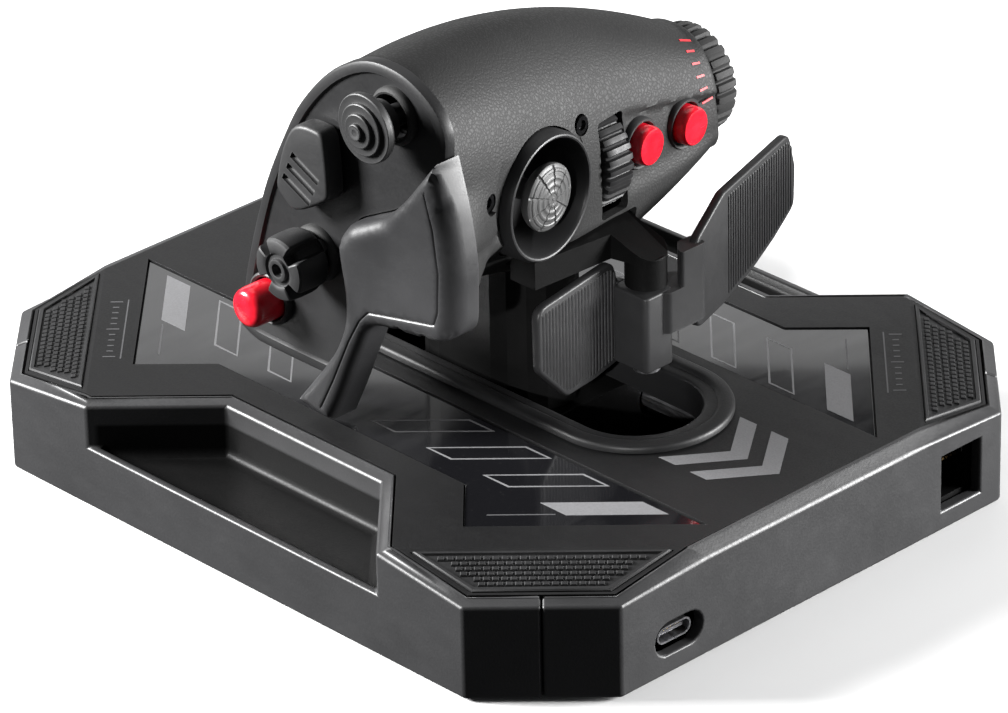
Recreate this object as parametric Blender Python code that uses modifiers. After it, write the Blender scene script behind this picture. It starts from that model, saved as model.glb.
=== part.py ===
"""Desk throttle quadrant: a sliding flight-throttle grip on a wide eight-sided base.

Metres, +Z up. The origin is on the desk, under the middle of the base. +X is the
pilot's right, where the grip's thumb face is, and +Y is forward, where the sockets are.
The helpers take millimetres and turn them into metres when the mesh is made.
"""
import math

import bmesh
import bpy
from mathutils import Matrix, Vector

MM = 0.001                     # one millimetre in metres
GAP = 0.3                      # air between pieces that rest on each other
ROUND = 24                     # sides of a round piece

# Base
BASE_X = 75.0                  # half width
BASE_Y = 87.5                  # half length
CORNER_CUT = 21.4              # the corners' 45 degree cuts
WAIST_X = 55.0                 # half width at the hand rests
WAIST_Y = 22.5                 # half length of the straight waist
FOOT_H = 0.4                   # height of the underside above the desk
DECK_Z = 24.2                  # top of the flat deck
LEDGE_Z = 14.2                 # rim of the hand rests
DISH_Z = 11.7                  # floor of the hand rests
WALL = 2.7                     # skirt thickness, also the width of its sloped rim
PLATE = 2.4                    # deck thickness
FOLD = 117.5                   # |x| + |y| where the deck starts to slope to a corner
CORNER_SLOPE = 0.18            # drop per distance beyond the fold
SLOT_HALF_X = 13.5             # throttle slot, clear opening
SLOT_HALF_Y = 51.5

# Slide under the deck
RAIL_X = 24.0
RAIL_Z = 11.0
RAIL_R = 3.0
RAIL_HALF = 66.0
CARRIAGE_Z = (5.0, 17.0)
BUSH_R = 4.5

# Grip
FACE_X = 44.0                  # outer plane of the thumb face
FACE_THICK = 2.5
BARREL_OPEN_X = 41.2           # open end of the barrel, behind the face
BARREL_END_X = -42.2
BARREL_WALL = 2.0
FRONT_TURN = math.radians(8.0)   # the barrel's front turns this much towards -X
STICK_CENTRE = (14.0, 27.8, 72.6)
WHEEL_CENTRE = (-7.9, 16.2, 70.2)
WHEEL_R = 11.2
KNOB_CENTRE = (-42.8, 8.0, 71.0)
KNOB_R = 11.7
KNOB_LENGTH = 6.2
BUTTON_R = 4.1                 # the two red buttons on the front
BUTTON_BORE = 4.5
RED_BUTTONS = {"inner": (-16.9, 71.6), "outer": (-31.4, 70.2)}      # (x, z) on the front
HINGE = (-9.5, 31.8)           # the paddle's vertical pin
LEFT_ROOT = (-7.2, 27.0)       # where each wing leaves the rocker, and where it heads
LEFT_HEADING = math.radians(8.0)
RIGHT_ROOT = (-19.4, 37.2)
RIGHT_HEADING = math.radians(196.6)
WING_THICK = 2.6
TILT_DEPTH = 5.0               # a hat's pivot behind the thumb face

# Joint places on the thumb face, (y, z)
COMM = (17.5, 97.0)
CASTLE = (-6.2, 59.2)
UNCAGE = (-20.2, 44.3)

YZ = Matrix(((0, 0, 1), (1, 0, 0), (0, 1, 0)))       # outline in Y, Z; thickness along X
XZ = Matrix(((1, 0, 0), (0, 0, -1), (0, 1, 0)))      # outline in X, Z; thickness along -Y


# ---------------------------------------------------------------- helpers

def clear_scene():
    for old in list(bpy.data.objects):
        bpy.data.objects.remove(old, do_unlink=True)


def new_collection(name):
    made = bpy.data.collections.new(name)
    bpy.context.scene.collection.children.link(made)
    return made


def material(name, colour, roughness, metallic=0.0):
    made = bpy.data.materials.new(name)
    made.use_nodes = True
    shader = made.node_tree.nodes["Principled BSDF"]
    shader.inputs["Base Color"].default_value = (*colour, 1.0)
    shader.inputs["Roughness"].default_value = roughness
    shader.inputs["Metallic"].default_value = metallic
    made.diffuse_color = (*colour, 1.0)
    return made


def add(name, bm, finish=None, origin=(0, 0, 0)):
    """Make an object from a mesh in millimetres, with its origin at a point."""
    bmesh.ops.transform(bm, matrix=Matrix.Scale(MM, 4) @ Matrix.Translation(-Vector(origin)),
                        verts=bm.verts)
    mesh = bpy.data.meshes.new(name)
    bm.to_mesh(mesh)
    bm.free()
    mesh.shade_smooth()
    mesh.set_sharp_from_angle(angle=math.radians(32))
    obj = bpy.data.objects.new(name, mesh)
    obj.location = Vector(origin) * MM
    if finish:
        mesh.materials.append(finish)
        MODEL.objects.link(obj)
    else:
        CUTTERS.objects.link(obj)
        obj.hide_render = True
        obj.display_type = "WIRE"
    return obj


def box_mesh(low, high, turn=0.0, about=(0, 0, 0)):
    """A box between two corners, turned about a vertical line."""
    bm = bmesh.new()
    bmesh.ops.create_cube(bm, size=1.0)
    size = Vector(high) - Vector(low)
    bmesh.ops.scale(bm, vec=size, verts=bm.verts)
    bmesh.ops.translate(bm, vec=(Vector(high) + Vector(low)) / 2, verts=bm.verts)
    bmesh.ops.rotate(bm, cent=about, matrix=Matrix.Rotation(turn, 3, "Z"), verts=bm.verts)
    return bm


def rod_mesh(radius, start, end, sides=ROUND, radius_end=None):
    """A cylinder or cone between two points."""
    start, end = Vector(start), Vector(end)
    bm = bmesh.new()
    top = radius if radius_end is None else radius_end
    bmesh.ops.create_cone(bm, cap_ends=True, segments=sides, radius1=radius, radius2=top,
                          depth=(end - start).length)
    turn = (end - start).to_track_quat("Z", "Y").to_matrix()
    bmesh.ops.rotate(bm, cent=(0, 0, 0), matrix=turn, verts=bm.verts)
    bmesh.ops.translate(bm, vec=(start + end) / 2, verts=bm.verts)
    return bm


def outline_mesh(points, low, high, plane=None):
    """A flat outline given thickness from low to high, by a filled 2D curve."""
    curve = bpy.data.curves.new("outline", "CURVE")
    curve.dimensions = "2D"
    curve.fill_mode = "BOTH"
    curve.extrude = (high - low) / 2
    spline = curve.splines.new("POLY")
    spline.points.add(len(points) - 1)
    for point, (x, y) in zip(spline.points, points):
        point.co = (x, y, 0, 1)
    spline.use_cyclic_u = True
    holder = bpy.data.objects.new("outline", curve)
    bpy.context.scene.collection.objects.link(holder)
    evaluated = holder.evaluated_get(bpy.context.evaluated_depsgraph_get())
    mesh = bpy.data.meshes.new_from_object(evaluated)
    bm = bmesh.new()
    bm.from_mesh(mesh)
    bpy.data.meshes.remove(mesh)
    bpy.data.objects.remove(holder, do_unlink=True)
    bmesh.ops.remove_doubles(bm, verts=bm.verts, dist=0.001)
    bmesh.ops.dissolve_limit(bm, angle_limit=0.01, verts=bm.verts, edges=bm.edges)
    bmesh.ops.recalc_face_normals(bm, faces=bm.faces)
    bmesh.ops.translate(bm, vec=(0, 0, (low + high) / 2), verts=bm.verts)
    if plane:
        bmesh.ops.transform(bm, matrix=plane.to_4x4(), verts=bm.verts)
    return bm


def round_edges(bm, width, segments=2, pick=lambda edge: True):
    """Bevel the sharp edges that pick accepts."""
    sharp = [e for e in bm.edges if e.calc_face_angle(0.0) > math.radians(25) and pick(e)]
    bmesh.ops.bevel(bm, geom=sharp, offset=width, segments=segments, profile=0.5,
                    affect="EDGES", clamp_overlap=True)
    return bm


def lathe(name, profile, finish, origin, axis, steps=ROUND):
    """A turned piece. The profile is (radius, height along the axis), outer side downwards."""
    bm = bmesh.new()
    verts = [bm.verts.new((r * MM, 0, h * MM)) for r, h in profile]
    for first, second in zip(verts, verts[1:]):
        bm.edges.new((first, second))
    if profile[0][0] > 0:                       # a ring: the profile closes on itself
        bm.edges.new((verts[-1], verts[0]))
    mesh = bpy.data.meshes.new(name)
    bm.to_mesh(mesh)
    bm.free()
    obj = bpy.data.objects.new(name, mesh)
    obj.location = Vector(origin) * MM
    obj.rotation_mode = "QUATERNION"
    obj.rotation_quaternion = Vector(axis).to_track_quat("Z", "Y")
    screw = obj.modifiers.new("Turn", "SCREW")
    screw.steps = screw.render_steps = steps
    screw.use_merge_vertices = True
    screw.merge_threshold = 0.00001
    screw.use_smooth_shade = True
    mesh.materials.append(finish)
    MODEL.objects.link(obj)
    return obj


def boolean(obj, cutter, operation="DIFFERENCE"):
    step = obj.modifiers.new(operation.title(), "BOOLEAN")
    step.operation = operation
    step.object = cutter
    return obj


def arc(centre, radius, start, end, count):
    """Points on an arc, angles in degrees."""
    cx, cy = centre
    angles = [math.radians(start + (end - start) * i / count) for i in range(count + 1)]
    return [(cx + radius * math.cos(a), cy + radius * math.sin(a)) for a in angles]


def stadium(half_x, half_y, count=8):
    """A slot outline, long along the second axis."""
    run = half_y - half_x
    return arc((0, run), half_x, 0, 180, count) + arc((0, -run), half_x, 180, 360, count)


def inset(points, distance):
    """Move a counter-clockwise outline inwards, with mitred corners."""
    moved = []
    for i, here in enumerate(points):
        before = Vector(here) - Vector(points[i - 1])
        after = Vector(points[(i + 1) % len(points)]) - Vector(here)
        n1 = Vector((-before.y, before.x)).normalized()
        n2 = Vector((-after.y, after.x)).normalized()
        mitre = (n1 + n2) * (distance / (1.0 + n1.dot(n2)))
        moved.append((here[0] + mitre.x, here[1] + mitre.y))
    return moved


# ---------------------------------------------------------------- base shapes

def octagon():
    quarter = [(BASE_X, BASE_Y - CORNER_CUT), (BASE_X - CORNER_CUT, BASE_Y)]
    top = quarter + [(-x, y) for x, y in reversed(quarter)]
    return top + [(-x, -y) for x, y in top]


def waisted():
    """The top outline, with the two hand rests taken out of the long sides."""
    step = BASE_X - WAIST_X
    right = [(BASE_X - CORNER_CUT, BASE_Y), (BASE_X, BASE_Y - CORNER_CUT), (BASE_X, WAIST_Y + step),
             (WAIST_X, WAIST_Y)]
    half = [(x, -y) for x, y in right] + right[::-1]
    return half + [(-x, -y) for x, y in half]


def corner_drop(x, y):
    return max(0.0, abs(x) + abs(y) - FOLD) / math.sqrt(2) * CORNER_SLOPE


def slope_corners(bm, from_z=-1000.0):
    """Fold the mesh along the four corner lines and lower what lies beyond them."""
    for sx in (1, -1):
        for sy in (1, -1):
            bmesh.ops.bisect_plane(bm, geom=bm.verts[:] + bm.edges[:] + bm.faces[:],
                                   plane_co=(sx * FOLD, 0, 0), plane_no=(sx, sy, 0))
    for vert in bm.verts:
        if vert.co.z > from_z:
            vert.co.z -= corner_drop(vert.co.x, vert.co.y)
    return bm


def skirt_block():
    """The whole base as one solid: sloped rim, sloped corners, rounded foot."""
    bm = outline_mesh(octagon(), FOOT_H, DECK_Z)
    top = [f for f in bm.faces if f.normal.z > 0.9]
    bmesh.ops.inset_region(bm, faces=top, thickness=WALL, use_even_offset=True)
    slope_corners(bm, from_z=DECK_Z - 0.1)
    for vert in bm.verts:
        x, y, z = abs(vert.co.x), abs(vert.co.y), vert.co.z
        on_corner = x + y > BASE_X + BASE_Y - CORNER_CUT - 0.6
        on_outline = on_corner or x > BASE_X - 0.1 or y > BASE_Y - 0.1
        if z > LEDGE_Z and on_outline:
            vert.co.z -= 0.6 if on_corner else (2.5 if y > BASE_Y - 0.1 else 1.0)
    foot = [e for e in bm.edges if max(v.co.z for v in e.verts) < FOOT_H + 0.1]
    bmesh.ops.bevel(bm, geom=foot, offset=0.8, segments=2, profile=0.5, affect="EDGES")
    return bm


def hand_rest_cutters(side):
    """Cutters for one hand rest: the opening above the rim, and the dish below it."""
    reach = 15.0
    step = BASE_X - WAIST_X
    mouth = [(WAIST_X, WAIST_Y), (WAIST_X, -WAIST_Y), (BASE_X + reach, -WAIST_Y - step - reach),
             (BASE_X + reach, WAIST_Y + step + reach)]
    bm = outline_mesh([(side * x, y) for x, y in mouth], LEDGE_Z, DECK_Z - 1.0)
    roof = [f for f in bm.faces if f.normal.z > 0.9]
    grown = bmesh.ops.extrude_face_region(bm, geom=roof)
    bmesh.ops.delete(bm, geom=roof, context="FACES")
    lip = [v for v in grown["geom"] if isinstance(v, bmesh.types.BMVert)]
    for vert in lip:
        vert.co.z += 1.0
        vert.co.x -= side * WALL
        vert.co.y += math.copysign(WALL * (math.sqrt(2) - 1), vert.co.y)
    roof = [f for f in bm.faces if f.normal.z > 0.9 and f.calc_center_median().z > DECK_Z - 0.1]
    grown = bmesh.ops.extrude_face_region(bm, geom=roof)
    bmesh.ops.delete(bm, geom=roof, context="FACES")
    bmesh.ops.translate(bm, vec=(0, 0, 10), verts=[v for v in grown["geom"]
                                                   if isinstance(v, bmesh.types.BMVert)])
    bmesh.ops.recalc_face_normals(bm, faces=bm.faces)
    opening = add(f"cut_hand_rest_{side}", bm)
    rim = 2.0
    dish = [(WAIST_X, WAIST_Y), (WAIST_X, -WAIST_Y), (BASE_X - rim, -WAIST_Y - step + rim),
            (BASE_X - rim, WAIST_Y + step - rim)]
    bm = outline_mesh([(side * x, y) for x, y in dish], DISH_Z, LEDGE_Z + 0.01)
    round_edges(bm, 2.2, 2, lambda e: max(v.co.z for v in e.verts) < DISH_Z + 0.1)
    return opening, add(f"cut_dish_{side}", bm)


def make_skirts(finish):
    """Four wall panels that meet in the middle of the corner faces."""
    reach = 140.0
    seam = BASE_Y - BASE_X
    low = add("cut_room_low", outline_mesh(inset(octagon(), WALL + 0.1), -5, DISH_Z - 2.4))
    high = add("cut_room_high", outline_mesh(inset(waisted(), WALL + 0.1), -4, 40))
    panels = {}
    for name, direction in (("right", (1, 0)), ("left", (-1, 0)), ("rear", (0, 1)), ("front", (0, -1))):
        dx, dy = direction
        apex = Vector((dx * (GAP / 2 - seam), dy * (seam + GAP / 2), 0))
        middle = apex + Vector((dx, dy, 0)) * reach / math.sqrt(2)
        half = reach / 2
        wedge = box_mesh(middle - Vector((half, half, 20)), middle + Vector((half, half, 40)),
                         math.radians(45), middle)
        panel = add(f"skirt_{name}", skirt_block(), finish)
        boolean(panel, add(f"cut_wedge_{name}", wedge), "INTERSECT")
        if dx:
            for cutter in hand_rest_cutters(dx):
                boolean(panel, cutter)
        boolean(panel, low)
        boolean(panel, high)
        panels[name] = panel
    return panels


def bottom_screw_places():
    return [(sx * 47.0, sy * 64.0) for sx in (1, -1) for sy in (1, -1)]


def pad_outline(sx, sy, grow=0.0):
    inner, outer = FOLD + 1.6 - grow, FOLD + 18.0 + grow
    side_x, side_y = BASE_X - 4.2 + grow, BASE_Y - 4.2 + grow
    points = [(side_x, inner - side_x), (side_x, outer - side_x), (outer - side_y, side_y),
              (inner - side_y, side_y)]
    return [(sx * x, sy * y) for x, y in points]


def window_outline(side, grow=0.0):
    half = [(24.3 - grow, 80.5 + 2.4 * grow), (57 + grow, 48 + grow * 0.4), (45 + grow, 36 - grow * 0.4)]
    points = half + [(x, -y) for x, y in reversed(half)]
    return [(side * x, y) for x, y in points]


def make_deck(deck_finish, gloss, pad_finish, trim):
    bm = outline_mesh(inset(waisted(), WALL + 0.1 + GAP), DECK_Z - PLATE, DECK_Z)
    deck = add("deck_plate", slope_corners(bm), deck_finish)
    for number, (x, y) in enumerate(bottom_screw_places()):
        boss = rod_mesh(4.0, (x, y, 6.0), (x, y, DECK_Z - PLATE / 2), 16)
        boolean(deck, add(f"deck_boss_{number}", boss), "UNION")
        bore = rod_mesh(1.8, (x, y, 5.0), (x, y, 18.0), 16)
        boolean(deck, add(f"cut_boss_{number}", bore))
    opening = outline_mesh(stadium(SLOT_HALF_X + 3.0, SLOT_HALF_Y + 3.0), DECK_Z - 10, DECK_Z + 5)
    boolean(deck, add("cut_deck_slot", opening))
    for side, name in ((1, "right"), (-1, "left")):
        pocket = outline_mesh(window_outline(side, GAP), DECK_Z - 1.4, DECK_Z + 3)
        boolean(deck, add(f"cut_window_{name}", pocket))
        add(f"deck_inlay_{name}", outline_mesh(window_outline(side), DECK_Z - 1.1, DECK_Z - 0.3), gloss)
    corners = {(1, 1): "rear_right", (-1, 1): "rear_left", (1, -1): "front_right", (-1, -1): "front_left"}
    for (sx, sy), name in corners.items():
        pocket = slope_corners(outline_mesh(pad_outline(sx, sy, GAP), DECK_Z - 0.9, DECK_Z + 3))
        boolean(deck, add(f"cut_pad_{name}", pocket))
        pad = slope_corners(outline_mesh(pad_outline(sx, sy), DECK_Z - 0.6, DECK_Z + 0.4))
        add(f"corner_pad_{name}", pad, pad_finish)

    lip = outline_mesh(stadium(SLOT_HALF_X + 6.0, SLOT_HALF_Y + 6.5), DECK_Z + GAP, DECK_Z + 1.9)
    round_edges(lip, 0.8, 1, lambda e: min(v.co.z for v in e.verts) > DECK_Z + 1.8)
    bezel = add("slot_bezel", lip, trim)
    collar = outline_mesh(stadium(SLOT_HALF_X + 2.6, SLOT_HALF_Y + 2.6), DECK_Z - 6.0, DECK_Z + 1.0)
    boolean(bezel, add("slot_collar", collar), "UNION")
    hole = outline_mesh(stadium(SLOT_HALF_X, SLOT_HALF_Y), DECK_Z - 12, DECK_Z + 8)
    boolean(bezel, add("cut_slot", hole))


def make_bottom(cover_finish, rubber, steel):
    bm = outline_mesh(inset(octagon(), WALL + 0.1 + GAP), FOOT_H, FOOT_H + 2.2)
    cover = add("bottom_cover", bm, cover_finish)
    for number, (x, y) in enumerate(bottom_screw_places()):
        hole = rod_mesh(3.6, (x, y, FOOT_H - 1), (x, y, FOOT_H + 1.3), 16)
        boolean(cover, add(f"cut_head_{number}", hole))
        hole = rod_mesh(1.8, (x, y, FOOT_H), (x, y, FOOT_H + 4), 16)
        boolean(cover, add(f"cut_shank_{number}", hole))
        head, shank, tip = FOOT_H + 0.1, FOOT_H + 1.0, 15.0
        profile = [(0, tip), (1.1, tip), (1.4, tip - 1.5), (1.4, shank), (3.2, shank), (3.2, head),
                   (1.5, head), (1.2, head + 0.7), (0, head + 0.7)]
        lathe(f"base_screw_{number + 1}", profile, steel, (x, y, 0), (0, 0, 1), 16)
    foot_r, foot_top = 8.5, 1.1
    for number, (sx, sy) in enumerate(((1, 1), (1, -1), (-1, 1), (-1, -1))):
        x, y = sx * 58.0, sy * 60.0
        recess = rod_mesh(foot_r + GAP, (x, y, FOOT_H - 1), (x, y, foot_top + GAP))
        boolean(cover, add(f"cut_foot_{number}", recess))
        profile = [(0, foot_top), (foot_r, foot_top), (foot_r, 0.4), (foot_r - 0.4, 0.0), (0, 0.0)]
        lathe(f"rubber_foot_{number + 1}", profile, rubber, (x, y, 0), (0, 0, 1))


def wall_outline_mesh(points, low_y, high_y):
    """An outline given as (x, z) and made solid between two depths along Y."""
    return outline_mesh(points, -high_y, -low_y, XZ)


def flat_slot(half_z, half_x, x, z):
    """A level slot outline in a wall, (x, z)."""
    return [(x + across, z + up) for up, across in stadium(half_z, half_x)]


def make_sockets(rear, shell_finish, jack_finish):
    """The USB socket and the modular jack, behind openings in the rear panel."""
    usb = (38.0, 8.3)
    recess = wall_outline_mesh(flat_slot(3.5, 6.4, *usb), BASE_Y - 5, BASE_Y + 5)
    boolean(rear, add("cut_usb", recess))
    tube = wall_outline_mesh(flat_slot(1.8, 4.6, *usb), BASE_Y - 10.5, BASE_Y - 1.5)
    socket = add("usb_socket", tube, shell_finish)
    mouth = wall_outline_mesh(flat_slot(1.4, 4.2, *usb), BASE_Y - 9.0, BASE_Y)
    boolean(socket, add("cut_usb_mouth", mouth))
    x, z = usb
    tongue = box_mesh((x - 3.3, BASE_Y - 9.8, z - 0.35), (x + 3.3, BASE_Y - 2.5, z + 0.35))
    boolean(socket, add("usb_tongue", tongue), "UNION")

    left, right, low, high = -47.5, -36.3, 5.0, 17.3
    boolean(rear, add("cut_jack", box_mesh((left, BASE_Y - 5, low), (right, BASE_Y + 5, high))))
    inner_face = BASE_Y - WALL - 0.1 - GAP
    body = box_mesh((left - 1.6, inner_face - 14, 4.2), (right + 1.6, inner_face, high + 1.4))
    jack = add("accessory_jack", body, jack_finish)
    mouth = box_mesh((left + 0.8, inner_face - 12, low + 0.8), (right - 0.8, BASE_Y, high - 3.4))
    boolean(jack, add("cut_jack_mouth", mouth))
    centre = (left + right) / 2
    for number, (half, drop) in enumerate(((3.2, 1.9), (1.8, 0.7))):
        notch = box_mesh((centre - half, inner_face - 11.5 + number, high - 5.0),
                         (centre + half, BASE_Y, high - drop))
        boolean(jack, add(f"cut_jack_notch_{number}", notch))


def make_slide(steel, plastic, brass):
    """Rails, brackets, and the carriage with its bushings."""
    for side, name in ((1, "right"), (-1, "left")):
        x = side * RAIL_X
        rod = rod_mesh(RAIL_R, (x, -RAIL_HALF, RAIL_Z), (x, RAIL_HALF, RAIL_Z))
        add(f"guide_rail_{name}", rod, steel)
        bush = rod_mesh(BUSH_R, (x, -16, RAIL_Z), (x, 16, RAIL_Z))
        bushing = add(f"linear_bushing_{name}", bush, brass, (x, 0, RAIL_Z))
        bore = rod_mesh(RAIL_R + 0.16, (x, -20, RAIL_Z), (x, 20, RAIL_Z))
        boolean(bushing, add(f"cut_bushing_{name}", bore))
        moves(bushing, THROTTLE)
    for sign, name in ((1, "rear"), (-1, "front")):
        y = sign * 62.0
        block = box_mesh((-31, y - 3.5, 4.0), (31, y + 3.5, 17.5))
        bracket = add(f"rail_bracket_{name}", block, plastic)
        for x in (-RAIL_X, RAIL_X):
            bore = rod_mesh(RAIL_R + GAP, (x, y - 6, RAIL_Z), (x, y + 6, RAIL_Z))
            boolean(bracket, add(f"cut_bracket_{name}_{x:.0f}", bore))
    carriage = add("carriage", box_mesh((-31, -20, CARRIAGE_Z[0]), (31, 20, CARRIAGE_Z[1])), plastic)
    for x in (-RAIL_X, RAIL_X):
        bore = rod_mesh(BUSH_R + GAP, (x, -25, RAIL_Z), (x, 25, RAIL_Z))
        boolean(carriage, add(f"cut_carriage_{x:.0f}", bore))
    moves(carriage, THROTTLE)
    board = box_mesh((-14, 70.5, 5.2), (30, 78, 6.8))
    add("main_board", board, BOARD)


# ---------------------------------------------------------------- grip shapes

def head_section():
    """Barrel section at the thumb face, (y, z), from the lower front over the top to the heel."""
    return [(29.0, 55.5), (31.4, 59.5), (31.8, 76.0), (31.0, 92.0), (25.4, 103.0), (14.5, 108.8),
            (3.0, 103.6), (-8.0, 93.0), (-16.0, 80.4), (-22.6, 65.0), (-27.2, 49.0), (-29.2, 37.0),
            (-25.0, 34.2), (-7.0, 34.2), (5.0, 43.0), (17.0, 52.0)]


def middle_section():
    return [(22.5, 48.6), (25.8, 53.6), (26.2, 69.0), (25.4, 82.5), (20.6, 94.2), (10.5, 103.0),
            (0.4, 99.6), (-7.5, 91.0), (-13.0, 81.4), (-15.8, 74.0), (-16.5, 66.0), (-15.0, 59.5),
            (-10.5, 56.0), (-2.0, 54.4), (7.0, 52.6), (15.0, 50.4)]


def end_section():
    """Round behind the end knob, with a flat front and a lower front lobe."""
    return [(19.6, 60.8), (22.2, 63.6), (21.4, 70.0), (20.0, 76.4), (16.4, 83.0), (10.0, 85.8),
            (3.0, 84.8), (-1.6, 81.4), (-4.0, 77.0), (-4.8, 72.4), (-4.2, 67.8), (-1.4, 64.0),
            (2.6, 61.2), (7.0, 59.8), (11.6, 59.2), (16.0, 59.2)]


def barrel_section(x):
    """A smooth blend, by a parabola in x, of the three sections above."""
    a, b, c = BARREL_OPEN_X, 0.0, -40.0
    wa = (x - b) * (x - c) / ((a - b) * (a - c))
    wb = (x - a) * (x - c) / ((b - a) * (b - c))
    wc = (x - a) * (x - b) / ((c - a) * (c - b))
    return [(wa * p[0] + wb * q[0] + wc * r[0], wa * p[1] + wb * q[1] + wc * r[1])
            for p, q, r in zip(head_section(), middle_section(), end_section())]


def make_barrel(finish):
    """The barrel: a skin lofted through its sections, thickened inwards, then cut."""
    stations = [BARREL_OPEN_X, BARREL_OPEN_X - 2.0, 30, 18, 6, -6, -18, -30, BARREL_END_X + 1.0]
    straight = BARREL_OPEN_X - 2.0             # the last stretch before the face doesn't taper
    rings = [(x, barrel_section(min(max(x, -40.0), straight))) for x in stations]
    cy, cz = KNOB_CENTRE[1], KNOB_CENTRE[2]
    for x, shrink in ((BARREL_END_X, 0.93), (BARREL_END_X, 0.5)):
        rings.append((x, [(cy + (y - cy) * shrink, cz + (z - cz) * shrink) for y, z in end_section()]))
    bm = bmesh.new()
    loops = [[bm.verts.new((x, y, z)) for y, z in ring] for x, ring in rings]
    for near, far in zip(loops, loops[1:]):
        for i in range(len(near)):
            j = (i + 1) % len(near)
            bm.faces.new((near[i], near[j], far[j], far[i]))
    bm.faces.new(loops[-1])
    bmesh.ops.recalc_face_normals(bm, faces=bm.faces)
    barrel = add("barrel_shell", bm, finish)
    smooth = barrel.modifiers.new("Smooth", "SUBSURF")
    smooth.levels = smooth.render_levels = 1
    skin = barrel.modifiers.new("Skin", "SOLIDIFY")
    skin.thickness = BARREL_WALL * MM
    skin.offset = -1.0
    barrel.data.shade_smooth()
    return barrel


def front_normal():
    return Vector((-math.sin(FRONT_TURN), math.cos(FRONT_TURN), 0))


def on_front(x, z, height=0.0):
    """A point on the barrel's front surface, or above it."""
    y = 32.0 - math.tan(FRONT_TURN) * (FACE_X - x) - 0.2
    return Vector((x, y, z)) + front_normal() * height


def saddle_outline():
    """Thumb rest on the face, (y, z), counter-clockwise from the leg's foot."""
    return [(-8.5, 28.2), (2.0, 27.2), (5.5, 34.0), (11.0, 47.0), (16.0, 53.6), (31.0, 56.8),
            (33.2, 59.5), (33.8, 70.0), (33.8, 82.0), (32.4, 92.6), (28.0, 87.4), (22.9, 81.3),
            (17.6, 76.8), (11.4, 73.5), (7.6, 70.2), (6.8, 66.0), (8.2, 56.0), (7.6, 48.8),
            (3.4, 41.2), (-3.0, 33.6)]


def face_outline():
    return [(-29.8, 34.7), (-24.5, 32.8), (-3.0, 32.7), (3.0, 40.0), (15.0, 54.0), (30.0, 58.0),
            (31.0, 86.0), (31.6, 97.0), (28.0, 102.5), (20.0, 106.4), (10.0, 106.3), (0.0, 101.0),
            (-9.2, 91.5), (-15.5, 80.8), (-21.5, 67.8), (-27.6, 48.0)]


def slider_outline():
    return [(-9.6, 72.2), (-5.4, 69.9), (3.2, 74.6), (4.4, 76.6), (3.6, 87.6), (1.8, 89.4),
            (-4.6, 88.5), (-8.4, 82.6), (-10.6, 74.2)]


def make_face(face_finish, saddle_finish):
    inner = FACE_X - FACE_THICK
    face = outline_mesh(face_outline(), inner, FACE_X, YZ)
    round_edges(face, 0.6, 1, lambda e: min(v.co.x for v in e.verts) > FACE_X - 0.1)
    face = add("face_plate", face, face_finish)
    clear = outline_mesh(inset(saddle_outline(), -GAP), inner - 2, FACE_X + 3, YZ)
    boolean(face, add("cut_saddle", clear))
    for name, (y, z), radius in (("comm", COMM, 4.6), ("castle", CASTLE, 4.6), ("uncage", UNCAGE, 4.6)):
        hole = rod_mesh(radius, (inner - 2, y, z), (FACE_X + 2, y, z))
        boolean(face, add(f"cut_face_{name}", hole))
    slot = outline_mesh(slider_slot(2.2, 6.0), inner - 2, FACE_X + 2, YZ)
    boolean(face, add("cut_face_slider", slot))
    saddle = outline_mesh(saddle_outline(), inner, FACE_X + 4.6, YZ)
    round_edges(saddle, 1.6, 2, lambda e: min(v.co.x for v in e.verts) > FACE_X + 4)
    add("thumb_saddle", saddle, saddle_finish)
    return face


SLIDE_WAY = Vector((0.43, 0.9)).normalized()      # the slider's travel on the face, (y, z)
SLIDER_CENTRE = (-3.2, 79.3)


def slider_slot(half_wide, half_long):
    """A rectangle along the slider's travel, (y, z)."""
    along, across = SLIDE_WAY, Vector((-SLIDE_WAY.y, SLIDE_WAY.x))
    middle = Vector(SLIDER_CENTRE)
    corners = ((-1, 1), (-1, -1), (1, -1), (1, 1))
    return [tuple(middle + along * (half_long * a) + across * (half_wide * b)) for a, b in corners]


# ---------------------------------------------------------------- controls

def make_hat(name, place, radius, front, finish, gimbal_finish, switch_finish, ripples):
    """A thumb hat: a cap on a stem, a gimbal ring, and the switch that holds them."""
    y, z = place
    pivot = (FACE_X - TILT_DEPTH, y, z)
    skirt = 7.4                                    # the cap's back, ahead of the pivot
    top = front - pivot[0]
    profile = [(0, top)]
    for ring in range(ripples):                    # stepped rings, from the middle outwards
        share = (ring + 1) / ripples
        step = 3.6 * ring / ripples
        profile += [(radius * (share - 0.55 / ripples), top - step), (radius * share, top - step - 0.7)]
    profile += [(radius, skirt + 0.5), (radius - 0.6, skirt), (2.2, skirt), (2.2, 1.5), (1.4, -1.2),
                (0, -1.6)]
    cap = lathe(f"{name}_hat", profile, finish, pivot, (1, 0, 0))
    ring = [(3.8, 0.8), (3.8, -0.8), (2.7, -0.8), (2.7, 0.8)]
    gimbal = lathe(f"{name}_gimbal", ring, gimbal_finish, pivot, (1, 0, 0), 16)
    back, lip = pivot[0] - 4.6, FACE_X - FACE_THICK - GAP
    body = rod_mesh(4.9, (back, y, z), (lip, y, z))
    switch = add(f"{name}_switch", body, switch_finish)
    bore = rod_mesh(4.1, (back + 1.4, y, z), (lip + 2, y, z))
    boolean(switch, add(f"cut_{name}_switch", bore))
    for piece in (cap, gimbal, switch):
        moves(piece, THROTTLE)
    return cap


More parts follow.
